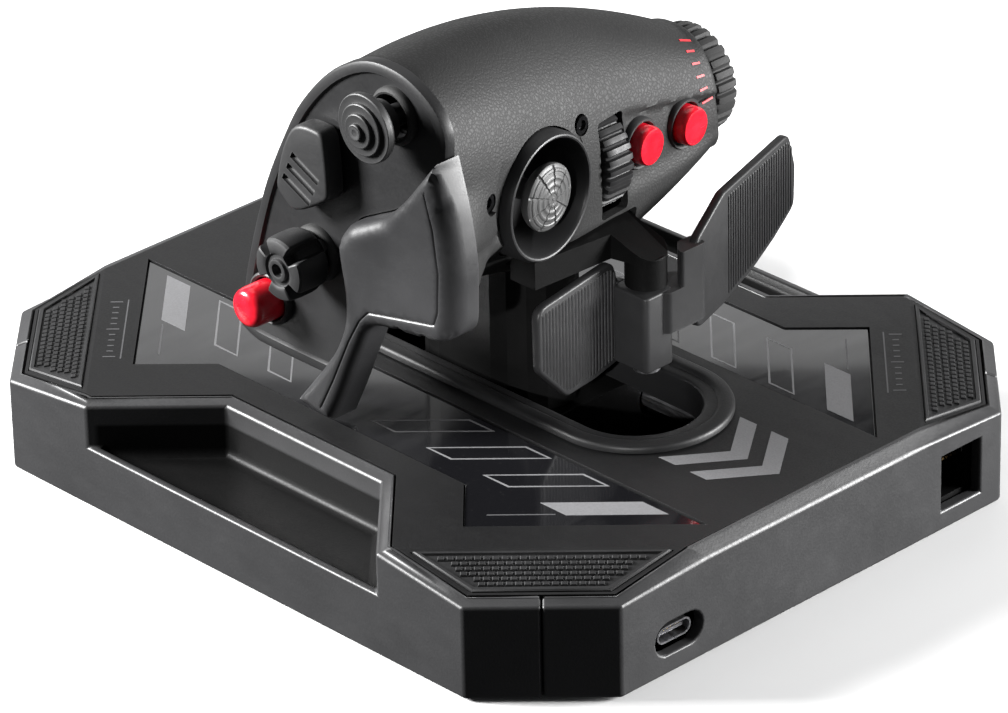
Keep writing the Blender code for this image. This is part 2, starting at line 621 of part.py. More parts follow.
def make_face_controls(black, red, switch_finish, brass):
    make_hat("comm", COMM, 7.2, 54.4, black, brass, switch_finish, 4)
    castle = make_hat("castle", CASTLE, 6.7, 54.6, black, brass, switch_finish, 1)
    for turn in range(4):                          # four notches between the fingers
        angle = math.radians(45 + 90 * turn)
        y = CASTLE[0] + 6.4 * math.cos(angle)
        z = CASTLE[1] + 6.4 * math.sin(angle)
        notch = rod_mesh(1.9, (49.0, y, z), (58.0, y, z), 12)
        boolean(castle, add(f"cut_castle_{turn}", notch))
    plate = outline_mesh(slider_outline(), FACE_X + 0.4, FACE_X + 5.4, YZ)
    round_edges(plate, 1.0, 1, lambda e: min(v.co.x for v in e.verts) > FACE_X + 5)
    origin = (FACE_X, *SLIDER_CENTRE)
    slider = add("dogfight_slider", plate, black, origin)
    stem = outline_mesh(slider_slot(1.7, 2.0), FACE_X - 4.5, FACE_X + 1.5, YZ)
    boolean(slider, add("slider_stem", stem), "UNION")
    across = Vector((-SLIDE_WAY.y, SLIDE_WAY.x)).normalized()
    for number, shift in enumerate((-5.2, -2.4, 0.4, 3.2)):
        middle = Vector(SLIDER_CENTRE) + SLIDE_WAY * shift - across * 0.5
        ends = [(FACE_X + 5.9, *(middle + across * s)) for s in (-5.5, 5.0)]
        groove = rod_mesh(1.1, ends[0], ends[1], 10)
        boolean(slider, add(f"cut_slider_{number}", groove))
    moves(slider, THROTTLE)
    y, z = UNCAGE
    profile = [(0, 7.4), (2.8, 7.3), (3.9, 6.6), (4.25, 5.2), (4.25, -2.6), (0, -2.6)]
    moves(lathe("uncage_button", profile, red, (FACE_X, y, z), (1, 0, 0)), THROTTLE)


def make_stick(barrel, ring_finish, cap_finish, brass):
    """The small thumb-free stick in its round well on the barrel's front."""
    centre = Vector(STICK_CENTRE)
    normal = front_normal()
    well = rod_mesh(13.8, centre - normal * 13.4, centre + normal * 8, 32)
    boolean(barrel, add("cut_stick_well", well))
    profile = [(12.6, 2.0), (13.4, 1.4), (13.4, -11.5), (5.4, -11.5), (5.4, -9.8), (11.4, -9.8),
               (11.4, 1.4), (11.9, 2.0)]
    moves(lathe("stick_bezel", profile, ring_finish, centre, normal, 32), THROTTLE)
    pivot = centre - normal * 12.6
    profile = [(0, 14.9), (4.4, 14.7), (6.6, 14.0), (7.0, 13.0), (6.6, 11.6), (3.4, 10.2), (2.2, 8.4),
               (2.2, -1.2), (1.2, -2.0), (0, -2.0)]
    moves(lathe("mini_stick", profile, cap_finish, pivot, normal), THROTTLE)
    ring = [(4.4, 0.6), (4.4, -0.8), (3.0, -0.8), (3.0, 0.6)]
    moves(lathe("mini_stick_gimbal", ring, brass, pivot, normal, 16), THROTTLE)


def make_wheel(barrel, finish, steel):
    """The serrated wheel in its window, on an axle along X."""
    x, y, z = WHEEL_CENTRE
    boolean(barrel, add("cut_wheel_window", box_mesh((x - 4.1, 10, z - 10.5), (x + 4.1, 40, z + 10.5))))
    teeth = 32
    points = []
    for i in range(teeth):
        for share, radius in ((0.0, WHEEL_R), (0.35, WHEEL_R), (0.68, WHEEL_R - 0.9)):
            angle = 2 * math.pi * (i + share) / teeth
            points.append((y + radius * math.cos(angle), z + radius * math.sin(angle)))
    wheel = add("range_wheel", outline_mesh(points, x - 3.5, x + 3.5, YZ), finish, WHEEL_CENTRE)
    boolean(wheel, add("cut_wheel_bore", rod_mesh(1.7, (x - 8, y, z), (x + 8, y, z))))
    moves(wheel, THROTTLE)
    moves(add("wheel_axle", rod_mesh(1.5, (x - 5.8, y, z), (x + 5.8, y, z), 16), steel), THROTTLE)


def make_front_buttons(barrel, red):
    for name, (x, z) in RED_BUTTONS.items():
        face = on_front(x, z)
        normal = front_normal()
        bore = rod_mesh(BUTTON_BORE, face - normal * 8, face + normal * 8)
        boolean(barrel, add(f"cut_button_{name}", bore))
        profile = [(0, 3.2), (BUTTON_R - 1.2, 3.1), (BUTTON_R - 0.3, 2.6), (BUTTON_R, 1.6), (BUTTON_R, -4.0),
                   (0, -4.0)]
        moves(lathe(f"red_button_{name}", profile, red, face, normal), THROTTLE)


def make_end_knob(barrel, finish, steel):
    """The rotary on the barrel's outboard end, on its own shaft."""
    x, y, z = KNOB_CENTRE
    boolean(barrel, add("cut_knob_shaft", rod_mesh(3.4, (x - 6, y, z), (x + 8, y, z))))
    moves(add("knob_shaft", rod_mesh(2.2, (x - 4.0, y, z), (x + 14.0, y, z), 16), steel), THROTTLE)
    count = 16
    valley = KNOB_R - 0.9
    points = []
    for i in range(count):
        for share, radius in ((0.0, KNOB_R), (0.3, KNOB_R), (0.6, KNOB_R), (0.7, valley), (0.9, valley)):
            angle = 2 * math.pi * (i + share) / count
            points.append((y + radius * math.cos(angle), z + radius * math.sin(angle)))
    bm = outline_mesh(points, x - KNOB_LENGTH, x, YZ)
    knob = add("antenna_knob", bm, finish, KNOB_CENTRE)
    bore = rod_mesh(2.4, (x - 4.6, y, z), (x + 4, y, z))
    boolean(knob, add("cut_knob_bore", bore))
    moves(knob, THROTTLE)


def make_paddle(barrel, block_finish, paddle_finish, steel):
    """The hinge block under the barrel, its pin, and the two-winged rocker."""
    px, py = HINGE
    block_low, block_high = 52.2, 58.5
    nose_r = 4.4
    slab = outline_mesh([(16, 19.6), (16, 26.6), (-4.0, 27.6), (-4.8, 31.0)]
                        + arc((px, py), nose_r, 10, 170, 8) + [(px - nose_r, 19.6)],
                        block_low, block_high)
    for vert in slab.verts:                        # the top falls away towards the nose
        if vert.co.z > block_high - 1:
            vert.co.z -= max(0.0, vert.co.y - 26.0) * 0.55
    block = add("hinge_block", slab, block_finish)
    lug = rod_mesh(nose_r - 0.1, (px, py, 46.4), (px, py, 53.2))
    boolean(block, add("hinge_lug", lug), "UNION")
    boolean(block, add("cut_lug", rod_mesh(1.8, (px, py, 40), (px, py, 52.6))))
    clear = box_mesh((-15.0, 18.6, 45), (17.0, 40, block_high + GAP))
    boolean(barrel, add("cut_hinge_block", clear))
    pin = [(0, 52.2), (1.5, 52.2), (1.5, 28.4), (2.8, 28.4), (2.8, 27.2), (0, 27.2)]
    moves(block, THROTTLE)
    moves(lathe("hinge_pin", pin, steel, (px, py, 0), (0, 0, 1), 16), THROTTLE)

    knuckle = outline_mesh([(-7.8, 27.2), (-7.8, 36.2), (-10.2, 37.6), (-20.6, 37.4), (-20.6, 33.6),
                            (-15.0, 29.6), (-12.0, 26.4), (-8.6, 25.8)], 29.2, 45.8)
    rocker = add("paddle_rocker", knuckle, paddle_finish, (px, py, 0))
    tower = box_mesh((-20.6, 33.4, 33.6), (-16.2, 37.4, 53.5))
    boolean(rocker, add("paddle_tower", tower), "UNION")
    wing(rocker, "left", left_wing(), LEFT_ROOT, LEFT_HEADING, WING_THICK)
    wing(rocker, "right", right_wing(), RIGHT_ROOT, RIGHT_HEADING, -WING_THICK)
    boolean(rocker, add("cut_paddle_pin", rod_mesh(1.75, (px, py, 20), (px, py, 60))))
    moves(rocker, THROTTLE)


def left_wing():
    """Outline of the inboard finger plate, (distance from its root, z)."""
    return [(-1.2, 29.2), (0.6, 28.0), (8.0, 27.1), (17.4, 27.1), (26.2, 36.2), (26.4, 48.6),
            (24.6, 50.4), (2.0, 51.0), (0.2, 46.8), (-1.2, 45.2)]


def right_wing():
    """Outline of the outboard finger plate, (distance from its root, z)."""
    return [(-1.0, 34.0), (11.0, 34.6), (24.6, 37.0), (33.0, 39.4), (39.6, 42.4), (42.2, 46.6),
            (42.4, 52.0), (40.8, 58.0), (37.6, 60.3), (11.0, 59.6), (-1.0, 54.0)]


def wing(rocker, name, outline, root, heading, thickness):
    """One finger plate: an outline of (distance along the wing, z), joined to the rocker."""
    low, high = sorted((0.0, thickness))
    bm = outline_mesh(outline, low, high, XZ)
    place = Matrix.Translation((root[0], root[1], 0)) @ Matrix.Rotation(heading, 4, "Z")
    bmesh.ops.transform(bm, matrix=place, verts=bm.verts)
    boolean(rocker, add(f"paddle_wing_{name}", bm), "UNION")


def make_grip_inside(barrel, steel):
    """The board behind the face, and the two screws that close the grip."""
    outline = [(-17, 48), (-4, 48), (14, 58), (20, 62), (20, 93), (5, 93), (-6, 80), (-14, 62)]
    board = outline_mesh(outline, 30.0, 31.6, YZ)
    moves(add("grip_board", board, BOARD), THROTTLE)
    normal = front_normal()
    for name, x, z in (("lower", 30.6, 77.5), ("upper", 0.8, 82.4)):
        face = on_front(x, z)
        bore = rod_mesh(2.2, face - normal * 6, face + normal * 6, 16)
        boolean(barrel, add(f"cut_grip_screw_{name}", bore))
        profile = [(0, -1.3), (0.9, -1.3), (1.1, -0.7), (1.9, -0.7), (1.9, -2.2), (1.2, -2.2),
                   (1.2, -9.0), (0, -9.0)]
        moves(lathe(f"grip_screw_{name}", profile, steel, face, normal, 16), THROTTLE)


def make_arm(barrel, finish):
    """The column that carries the grip through the slot."""
    bm = outline_mesh(stadium(10.5, 18.0), CARRIAGE_Z[1] + GAP, 56.8)
    moves(add("throttle_arm", bm, finish), THROTTLE)
    hole = outline_mesh(stadium(11.4, 19.2), 40, 60)
    boolean(barrel, add("cut_arm", hole))


def moves(piece, parent):
    """Ride on a parent empty that stands at the world origin."""
    piece.parent = parent


# ---------------------------------------------------------------- build

clear_scene()
MODEL = new_collection("Throttle quadrant")
CUTTERS = new_collection("Cutters")
THROTTLE = bpy.data.objects.new("throttle_frame", None)
MODEL.objects.link(THROTTLE)
BOARD = material("Circuit board", (0.02, 0.12, 0.05), 0.5)

shell = material("Satin shell", (0.035, 0.036, 0.038), 0.45)
deck_black = material("Deck", (0.022, 0.023, 0.025), 0.5)
gloss_black = material("Gloss inlay", (0.012, 0.012, 0.014), 0.12)
grip_black = material("Grip", (0.018, 0.018, 0.019), 0.55)
saddle_black = material("Saddle", (0.03, 0.03, 0.032), 0.4)
control_black = material("Control", (0.015, 0.015, 0.016), 0.5)
rubber = material("Rubber", (0.012, 0.012, 0.012), 0.85)
red = material("Red cap", (0.7, 0.015, 0.03), 0.35)
steel = material("Steel", (0.5, 0.5, 0.52), 0.3, 1.0)
brass = material("Bronze", (0.5, 0.34, 0.16), 0.35, 1.0)
inner_plastic = material("Inner plastic", (0.05, 0.05, 0.055), 0.6)

skirts = make_skirts(shell)
make_deck(deck_black, gloss_black, rubber, shell)
make_bottom(inner_plastic, rubber, steel)
make_sockets(skirts["rear"], steel, inner_plastic)
make_slide(steel, inner_plastic, brass)

barrel = make_barrel(grip_black)
make_arm(barrel, inner_plastic)
face = make_face(grip_black, saddle_black)
make_grip_inside(barrel, steel)
make_stick(barrel, control_black, control_black, brass)
make_wheel(barrel, rubber, steel)
make_front_buttons(barrel, red)
make_end_knob(barrel, control_black, steel)
make_paddle(barrel, inner_plastic, control_black, steel)
make_face_controls(control_black, red, inner_plastic, brass)
for piece in (barrel, face, bpy.data.objects["thumb_saddle"]):
    moves(piece, THROTTLE)
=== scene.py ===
"""Looks of a desk throttle quadrant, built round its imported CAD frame.

+X is the pilot's right, where the grip's thumb face is, +Y is forward, where the
sockets are, and +Z is up. Shapes are given in millimetres and become metres in made().
"""

import math

import bmesh
import bpy
from mathutils import Matrix, Vector
from mathutils.geometry import delaunay_2d_cdt


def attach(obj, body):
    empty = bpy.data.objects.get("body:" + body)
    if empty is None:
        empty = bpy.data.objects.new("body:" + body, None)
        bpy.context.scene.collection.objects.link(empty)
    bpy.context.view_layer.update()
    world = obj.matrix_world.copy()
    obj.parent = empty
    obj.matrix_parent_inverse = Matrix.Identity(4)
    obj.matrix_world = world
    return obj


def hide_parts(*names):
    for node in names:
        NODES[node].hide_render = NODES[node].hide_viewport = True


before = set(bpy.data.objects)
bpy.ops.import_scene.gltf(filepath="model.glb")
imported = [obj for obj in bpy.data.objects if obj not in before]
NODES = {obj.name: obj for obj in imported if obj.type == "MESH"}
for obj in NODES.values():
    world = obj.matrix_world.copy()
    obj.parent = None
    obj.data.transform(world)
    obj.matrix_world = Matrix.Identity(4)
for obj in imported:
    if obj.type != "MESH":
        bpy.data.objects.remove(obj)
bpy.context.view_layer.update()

MM = 0.001                      # one millimetre in metres
GAP = 0.3                       # air between neighbours

# Base
DECK_Z = 24.2                   # top of the flat deck
INLAY_Z = DECK_Z - 0.3          # top of the glossy inlays
BASE_X, BASE_Y = 75.0, 87.5     # half width and half length
FOLD = 117.5                    # |x| + |y| where the deck starts to slope to a corner
CORNER_SLOPE = 0.18             # drop per distance beyond the fold
SLOT = (13.5, 51.5)             # half width and half length of the throttle's slot
TRIM = (19.5, 58.0)             # the same for the trim round it
PAD_FROM, PAD_TO = 1.6, 18.0    # where a corner pad starts and ends beyond the fold
PAD_MARGIN = 4.2                # from a corner pad to the base's sides
BRICK_LONG, BRICK_WIDE = 1.75, 1.5      # pitch of a pad's bricks, along and across the fold
BRICK_GAP = 0.4
INK_DEPTH = 0.06                # thickness of printed marks, which start just under the surface

# Grip
FACE_X = 44.0                   # outer plane of the thumb face
BARREL_OPEN_X = 41.2            # open end of the barrel, behind the face
BARREL_END_X = -42.2
END_SECTION_X = -40.0           # the barrel keeps its end section beyond this
BARREL_WALL = 2.0
FRONT_TURN = math.radians(8.0)  # the barrel's front turns this much towards -X
FRONT_Y = 32.0                  # the front's plane at the thumb face
STICK_CENTRE = (14.0, 27.8, 72.6)
WHEEL_CENTRE = (-7.9, 16.2, 70.2)
WHEEL_R = 11.2
KNOB_CENTRE = (-42.8, 8.0, 71.0)
KNOB_R = 11.7
KNOB_LENGTH = 6.2
BUTTON_R = 4.1                  # the two red buttons on the front
BUTTON_BORE = 4.5
HINGE = (-9.5, 31.8)            # the paddle's vertical pin
TILT_DEPTH = 5.0                # a hat's pivot behind the thumb face
COMM = (17.5, 97.0)             # places on the thumb face, (y, z)
CASTLE = (-6.2, 59.2)
UNCAGE = (-20.2, 44.3)
SLIDER = (-3.2, 79.3)
SLIDE_WAY = Vector((0.43, 0.9)).normalized()      # the slider's travel on the face, (y, z)
RED_BUTTONS = {"inner": (-16.9, 71.6), "outer": (-31.4, 70.2)}      # (x, z) on the front
GRIP_SCREWS = ((30.6, 77.5), (0.8, 82.4))         # (x, z) on the front

YZ = Matrix(((0, 0, 1), (1, 0, 0), (0, 1, 0)))    # outline in Y, Z; thickness along X
XZ = Matrix(((1, 0, 0), (0, 0, -1), (0, 1, 0)))   # outline in X, Z; thickness along -Y


# ---------------------------------------------------------------- materials

class Finish:
    """A procedural material, built socket by socket. Sizes are in millimetres."""

    def __init__(self, name):
        self.material = bpy.data.materials.new(name)
        self.material.use_nodes = True
        self.tree = self.material.node_tree
        self.shader = self.tree.nodes["Principled BSDF"]
        self.place = self.node("TexCoord").outputs["Object"]

    def node(self, kind, inputs=None, **settings):
        made_node = self.tree.nodes.new("ShaderNode" + kind)
        for key, value in settings.items():
            setattr(made_node, key, value)
        for key, value in (inputs or {}).items():
            self.feed(made_node.inputs[key], value)
        return made_node

    def feed(self, socket, value):
        if isinstance(value, bpy.types.NodeSocket):
            self.tree.links.new(value, socket)
        else:
            socket.default_value = value

    def noise(self, size, detail=3.0, roughness=0.55, stretch=None):
        place = self.place
        if stretch:
            place = self.node("Mapping", {"Vector": place, "Scale": stretch}).outputs[0]
        wanted = {"Vector": place, "Scale": 1 / (size * MM), "Detail": detail, "Roughness": roughness}
        return self.node("TexNoise", wanted).outputs["Fac"]

    def cells(self, size, bend=1.4):
        """Distance to the edges of Voronoi cells that a noise pushes out of true."""
        coarse = {"Vector": self.place, "Scale": 1 / (size * 2.5 * MM)}
        wander = self.node("TexNoise", coarse).outputs["Color"]
        push = self.vector("MULTIPLY", wander, (bend * size * MM,) * 3)
        cell = {"Vector": self.vector("ADD", self.place, push), "Scale": 1 / (size * MM)}
        return self.node("TexVoronoi", cell, feature="DISTANCE_TO_EDGE").outputs["Distance"]

    def spread(self, value, low, high, to_low=0.0, to_high=1.0):
        wanted = {"Value": value, "From Min": low, "From Max": high, "To Min": to_low, "To Max": to_high}
        return self.node("MapRange", wanted).outputs[0]

    def combine(self, first, second, operation="ADD"):
        return self.node("Math", {0: first, 1: second}, operation=operation).outputs[0]

    def vector(self, operation, first, second, output=0):
        return self.node("VectorMath", {0: first, 1: second}, operation=operation).outputs[output]

    def mix(self, factor, first, second):
        """Mix two colours. The Mix node's colour sockets, 6 and 7, share their names with others."""
        mixed = self.node("Mix", data_type="RGBA")
        self.feed(mixed.inputs[0], factor)
        for number, colour in ((6, first), (7, second)):
            given = isinstance(colour, bpy.types.NodeSocket)
            self.feed(mixed.inputs[number], colour if given else (*colour, 1))
        return mixed.outputs[2]

    def clouded(self, noise, tone, low, high, start=0.3, end=0.7):
        """The tone, scaled from low to high as the noise goes from start to end."""
        return self.mix(self.spread(noise, start, end), scaled(tone, low), scaled(tone, high))

    def edge_highlight_mask(self, width):
        """0 on open surface, 1 on outer and inner edges: the mask of a painted edge highlight."""
        soft = self.node("Bevel", {"Radius": width * MM}, samples=4).outputs[0]
        hard = self.node("NewGeometry").outputs["Normal"]
        return self.spread(self.vector("DOT_PRODUCT", soft, hard, "Value"), 0.99, 0.80)

    def bump(self, height, depth, strength=1.0):
        """Bump of this depth; height runs from 0 to 1."""
        bumped = self.node("Bump", {"Height": height, "Distance": depth * MM, "Strength": strength})
        self.feed(self.shader.inputs["Normal"], bumped.outputs[0])

    def set(self, **values):
        for key, value in values.items():
            self.feed(self.shader.inputs[key.replace("_", " ").title().replace("Ior", "IOR")], value)
        return self.material


def scaled(tone, factor, lift=0.0):
    return [min(1.0, t * factor + lift) for t in tone]


def painted_dish_shade(finish):
    """1 where the hand rests' dishes get painted shade, 0 elsewhere on the skirts."""
    axes = finish.node("SeparateXYZ", {"Vector": finish.place}).outputs
    dish_shade_mask = None
    limits = (("X", True, 74.0, 73.2), ("Y", True, 56.0, 54.0), ("Z", False, 19.5, 18.8))
    for axis, folded, start, end in limits:
        place = axes[axis]
        if folded:
            place = finish.node("Math", {0: place}, operation="ABSOLUTE").outputs[0]
        near = finish.spread(place, start * MM, end * MM)
        dish_shade_mask = finish.combine(dish_shade_mask, near, "MULTIPLY") if dish_shade_mask else near
    return dish_shade_mask


def moulded(name, tone, roughness, grain=0.45, depth=0.02, edge_highlight_and_wear=0.5, cloud=18.0, shine=0.5, dish=False):
    """Moulded plastic: spark-eroded grain, slow clouds in tone and gloss, paler edges from a painted
    highlight that scuffs make patchy like wear; with dish, painted shade in the hand rests' dishes.
    """
    finish = Finish(name)
    fine = finish.noise(grain, 2.0, 0.6)
    slow = finish.noise(cloud)
    scuff = finish.noise(cloud / 5, 5.0, 0.7, (1.0, 0.35, 1.0))
    # painted highlight: edges are lightened towards 2.2 times the tone, patchy where the scuff noise is low,
    # partly like wear
    edge = finish.combine(finish.edge_highlight_mask(0.5), finish.spread(scuff, 0.35, 0.7, 0.4, 1.0), "MULTIPLY")
    body = finish.clouded(slow, tone, 0.86, 1.14)
    colour = finish.mix(finish.combine(edge, edge_highlight_and_wear, "MULTIPLY"), body, scaled(tone, 2.2, 0.02))
    gloss = finish.combine(finish.spread(fine, 0.3, 0.7, roughness - 0.04, roughness + 0.06),
                           finish.spread(scuff, 0.45, 0.75, 0.0, 0.07))
    finish.bump(finish.combine(fine, finish.spread(slow, 0, 1, 0, 0.3)), depth)
    # painted shade: in the dishes the colour is pulled to near-black and the shine drops to 0.12
    if dish:
        dish_shade_mask = painted_dish_shade(finish)
        colour = finish.mix(dish_shade_mask, colour, (0.006, 0.006, 0.006))
        shine = finish.spread(dish_shade_mask, 0.0, 1.0, shine, 0.12)
    return finish.set(base_color=colour, roughness=gloss, specular_ior_level=shine)


def leather_grain(name, tone, roughness):
    """Moulded leather pattern: pebbles between fine creases, which get painted shade."""
    finish = Finish(name)
    pebble = finish.spread(finish.cells(0.85), 0.0, 0.32)
    fine = finish.noise(0.4, 3.0, 0.6)
    slow = finish.noise(25.0)
    body = finish.clouded(slow, tone, 0.85, 1.15)
    # painted shade: the creases between pebbles are darkened towards half the tone
    colour = finish.mix(finish.spread(pebble, 0.0, 0.5, 0.45, 0.0), body, scaled(tone, 0.5))
    gloss = finish.combine(finish.spread(pebble, 0.0, 1.0, roughness + 0.12, roughness),
                           finish.spread(slow, 0.3, 0.7, -0.03, 0.04))
    finish.bump(finish.combine(pebble, finish.spread(fine, 0.2, 0.8, -0.25, 0.25)), 0.03, 0.8)
    return finish.set(base_color=colour, roughness=gloss, specular_ior_level=0.15)


def gloss_panel(name):
    """Piano-black inlay with faint wipe marks and dust."""
    finish = Finish(name)
    wipe = finish.noise(6.0, 4.0, 0.6, (0.3, 1.0, 1.0))
    dust = finish.spread(finish.noise(0.5, 1.0), 0.72, 0.8)
    finish.bump(finish.noise(30.0, 1.0), 0.03)
    return finish.set(base_color=finish.mix(dust, (0.006, 0.006, 0.007), (0.03, 0.03, 0.03)),
                      roughness=finish.spread(wipe, 0.3, 0.75, 0.07, 0.17),
                      coat_weight=0.6, coat_roughness=0.04)


def rubber(name, tone, roughness=0.72):
    """Matt rubber with dust in slow clouds."""
    finish = Finish(name)
    fine = finish.noise(0.25, 4.0, 0.7)
    slow = finish.noise(9.0, 4.0)
    dusty = finish.mix(finish.spread(slow, 0.4, 0.75), tone, scaled(tone, 1.6, 0.004))
    finish.bump(fine, 0.03)
    return finish.set(base_color=dusty,
                      roughness=finish.spread(fine, 0.3, 0.7, roughness - 0.08, roughness + 0.1))


def red_cap(name):
    """Glossy red plastic with a little depth, a satin bloom and hairline scratches."""
    finish = Finish(name)
    slow = finish.noise(3.0)
    scratch = finish.noise(1.2, 6.0, 0.7, (0.15, 1.0, 1.0))
    colour = finish.mix(finish.spread(slow, 0.35, 0.7), (0.62, 0.006, 0.018), (0.80, 0.016, 0.035))
    finish.bump(scratch, 0.01)
    return finish.set(base_color=colour, roughness=finish.spread(scratch, 0.3, 0.7, 0.16, 0.30),
                      coat_weight=0.5, coat_roughness=0.1, subsurface_weight=0.1, subsurface_scale=0.001)


def turned_metal(name, tone, roughness, stretch=0.1):
    """Metal with fine tool marks that run along Y."""
    finish = Finish(name)
    marks = finish.noise(0.5, 4.0, 0.7, (1, stretch, 1))
    finish.bump(marks, 0.01)
    return finish.set(base_color=finish.clouded(finish.noise(5.0), tone, 1.0, 0.75), metallic=1.0,
                      roughness=finish.spread(marks, 0.3, 0.7, roughness - 0.06, roughness + 0.12))


def circuit_board(name):
    """Green solder mask with faint track lines."""
    finish = Finish(name)
    wanted = {"Vector": finish.place, "Scale": 160.0, "Mortar Size": 0.03}
    tracks = finish.node("TexBrick", wanted).outputs["Fac"]
    finish.bump(tracks, 0.03)
    return finish.set(base_color=finish.mix(tracks, (0.008, 0.06, 0.02), (0.03, 0.14, 0.05)),
                      roughness=finish.spread(finish.noise(2.0), 0.3, 0.7, 0.3, 0.45))


def print_ink(name, tone):
    """Pad-printed ink, a little broken up."""
    finish = Finish(name)
    speck = finish.noise(0.35, 3.0, 0.7)
    finish.bump(speck, 0.01)
    return finish.set(base_color=finish.clouded(speck, tone, 0.72, 1.0, 0.3, 0.6),
                      roughness=finish.spread(speck, 0.3, 0.7, 0.45, 0.6))


# Tone and roughness; for moulded ones then grain size, bump depth, painted edge highlight (partly wear) and
# cloud size.
SHELL = moulded("shell_plastic", (0.030, 0.030, 0.031), 0.42, 0.5, 0.022)
# the side skirts, with painted shade in their hand-rest dishes
SHELL_DISH_SHADE = moulded("shell_dish_painted_shade", (0.030, 0.030, 0.031), 0.42, 0.5, 0.022, dish=True)
DECK = moulded("deck_plastic", (0.005, 0.005, 0.0053), 0.47, 0.45, 0.015, 0.3, shine=0.32)
INLAY = gloss_panel("inlay_gloss")
PAD = rubber("pad_rubber", (0.006, 0.006, 0.0065), 0.55)
GRIP = leather_grain("grip_plastic", (0.023, 0.023, 0.023), 0.46)
GRIP_SMOOTH = moulded("grip_plastic_smooth", (0.022, 0.022, 0.022), 0.38, 0.4, 0.012, 0.4)
FACE = moulded("face_plastic", (0.015, 0.015, 0.0155), 0.42, 0.4, 0.012, 0.5, shine=0.35)
SADDLE = moulded("saddle_plastic", (0.025, 0.025, 0.026), 0.36, 0.35, 0.006, 0.5)
CONTROL = moulded("control_plastic", (0.018, 0.018, 0.0185), 0.50, 0.35, 0.014, 0.9, 6.0)
PADDLE = moulded("paddle_plastic", (0.015, 0.015, 0.0155), 0.44, 0.3, 0.010, 0.6, 9.0, 0.25)
STICK = moulded("stick_plastic", (0.055, 0.055, 0.055), 0.45, 0.3, 0.015, 0.7, 3.0)
# painted shade: dark plastic with its tone pushed to near-black and little shine, darker than the other
# plastics, for parts that sit in shadow
SHADE_BLACK_INNER = moulded("inner_plastic", (0.002, 0.002, 0.002), 0.50, 0.5, 0.02, 0.05, 18.0, 0.10)
BLACK_RUBBER = rubber("rubber", (0.010, 0.010, 0.010))
RED = red_cap("red_plastic")
STEEL = turned_metal("steel", (0.55, 0.55, 0.57), 0.30)
BLACK_STEEL = turned_metal("black_steel", (0.02, 0.02, 0.021), 0.30)
BRONZE = turned_metal("bronze", (0.50, 0.34, 0.16), 0.35, 0.15)
BOARD = circuit_board("board")
INK = print_ink("print_grey", (0.17, 0.17, 0.175))
INK_DIM = print_ink("print_dim", (0.08, 0.08, 0.083))
INK_RED = print_ink("print_red", (0.62, 0.02, 0.03))


# ---------------------------------------------------------------- mesh helpers

def made(name, bm, finish, body=None, hides=(), sharp=34):
    """Turn a mesh in millimetres into a piece that rides on a body."""
    bmesh.ops.recalc_face_normals(bm, faces=bm.faces)
    bmesh.ops.scale(bm, vec=(MM, MM, MM), verts=bm.verts)
    mesh = bpy.data.meshes.new(name)
    bm.to_mesh(mesh)
    bm.free()
    mesh.shade_smooth()
    mesh.set_sharp_from_angle(angle=math.radians(sharp))
    obj = bpy.data.objects.new(name, mesh)
    bpy.context.scene.collection.objects.link(obj)
    if finish:
        mesh.materials.append(finish)
    if body:
        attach(obj, body)
    if hides:
        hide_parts(*hides)
    return obj


def settle(obj, sharp=34):
    """Keep an object's evaluated shape as its plain mesh."""
    depsgraph = bpy.context.evaluated_depsgraph_get()
    mesh = bpy.data.meshes.new_from_object(obj.evaluated_get(depsgraph), depsgraph=depsgraph)
    obj.modifiers.clear()
    obj.data = mesh
    mesh.shade_smooth()
    mesh.set_sharp_from_angle(angle=math.radians(sharp))
    return obj


def carve(obj, tools, how="DIFFERENCE", sharp=34):
    """Cut the tools' meshes out of an object, or join them to it."""
    cutters = [made(f"{obj.name}_tool_{number}", bm, None) for number, bm in enumerate(tools)]
    for cutter in cutters:
        step = obj.modifiers.new("Carve", "BOOLEAN")
        step.operation = how
        step.solver = "MANIFOLD"
        step.object = cutter
    finish = obj.data.materials[0]                  # the cutters have none and would add empty slots
    settle(obj, sharp)
    obj.data.materials.clear()
    obj.data.materials.append(finish)
    obj.data.polygons.foreach_set("material_index", [0] * len(obj.data.polygons))
    for cutter in cutters:
        bpy.data.objects.remove(cutter, do_unlink=True)


def box_mesh(low, high):
    bm = bmesh.new()
    bmesh.ops.create_cube(bm, size=1.0)
    low, high = Vector(low), Vector(high)
    bmesh.ops.scale(bm, vec=high - low, verts=bm.verts)
    bmesh.ops.translate(bm, vec=(low + high) / 2, verts=bm.verts)
    return bm


def rod_mesh(radius, start, end, sides=48):
    start, end = Vector(start), Vector(end)
    bm = bmesh.new()
    bmesh.ops.create_cone(bm, cap_ends=True, segments=sides, radius1=radius, radius2=radius,
                          depth=(end - start).length)
    turn = (end - start).to_track_quat("Z", "Y").to_matrix()
    bmesh.ops.rotate(bm, cent=(0, 0, 0), matrix=turn, verts=bm.verts)
    bmesh.ops.translate(bm, vec=(start + end) / 2, verts=bm.verts)
    return bm


def thicken(bm, thickness):
    """Extrude a flat mesh upwards, keeping its bottom."""
    grown = bmesh.ops.extrude_face_region(bm, geom=bm.faces[:], use_keep_orig=True)["geom"]
    top = [part for part in grown if isinstance(part, bmesh.types.BMVert)]
    bmesh.ops.translate(bm, vec=(0, 0, thickness), verts=top)


def outline_mesh(points, low, high, plane=None):
    """A flat outline given thickness from low to high."""
    bm = bmesh.new()
    bm.faces.new([bm.verts.new((x, y, low)) for x, y in points])
    thicken(bm, high - low)
    if plane:
        bmesh.ops.transform(bm, matrix=plane.to_4x4(), verts=bm.verts)
    bmesh.ops.recalc_face_normals(bm, faces=bm.faces)
    return bm


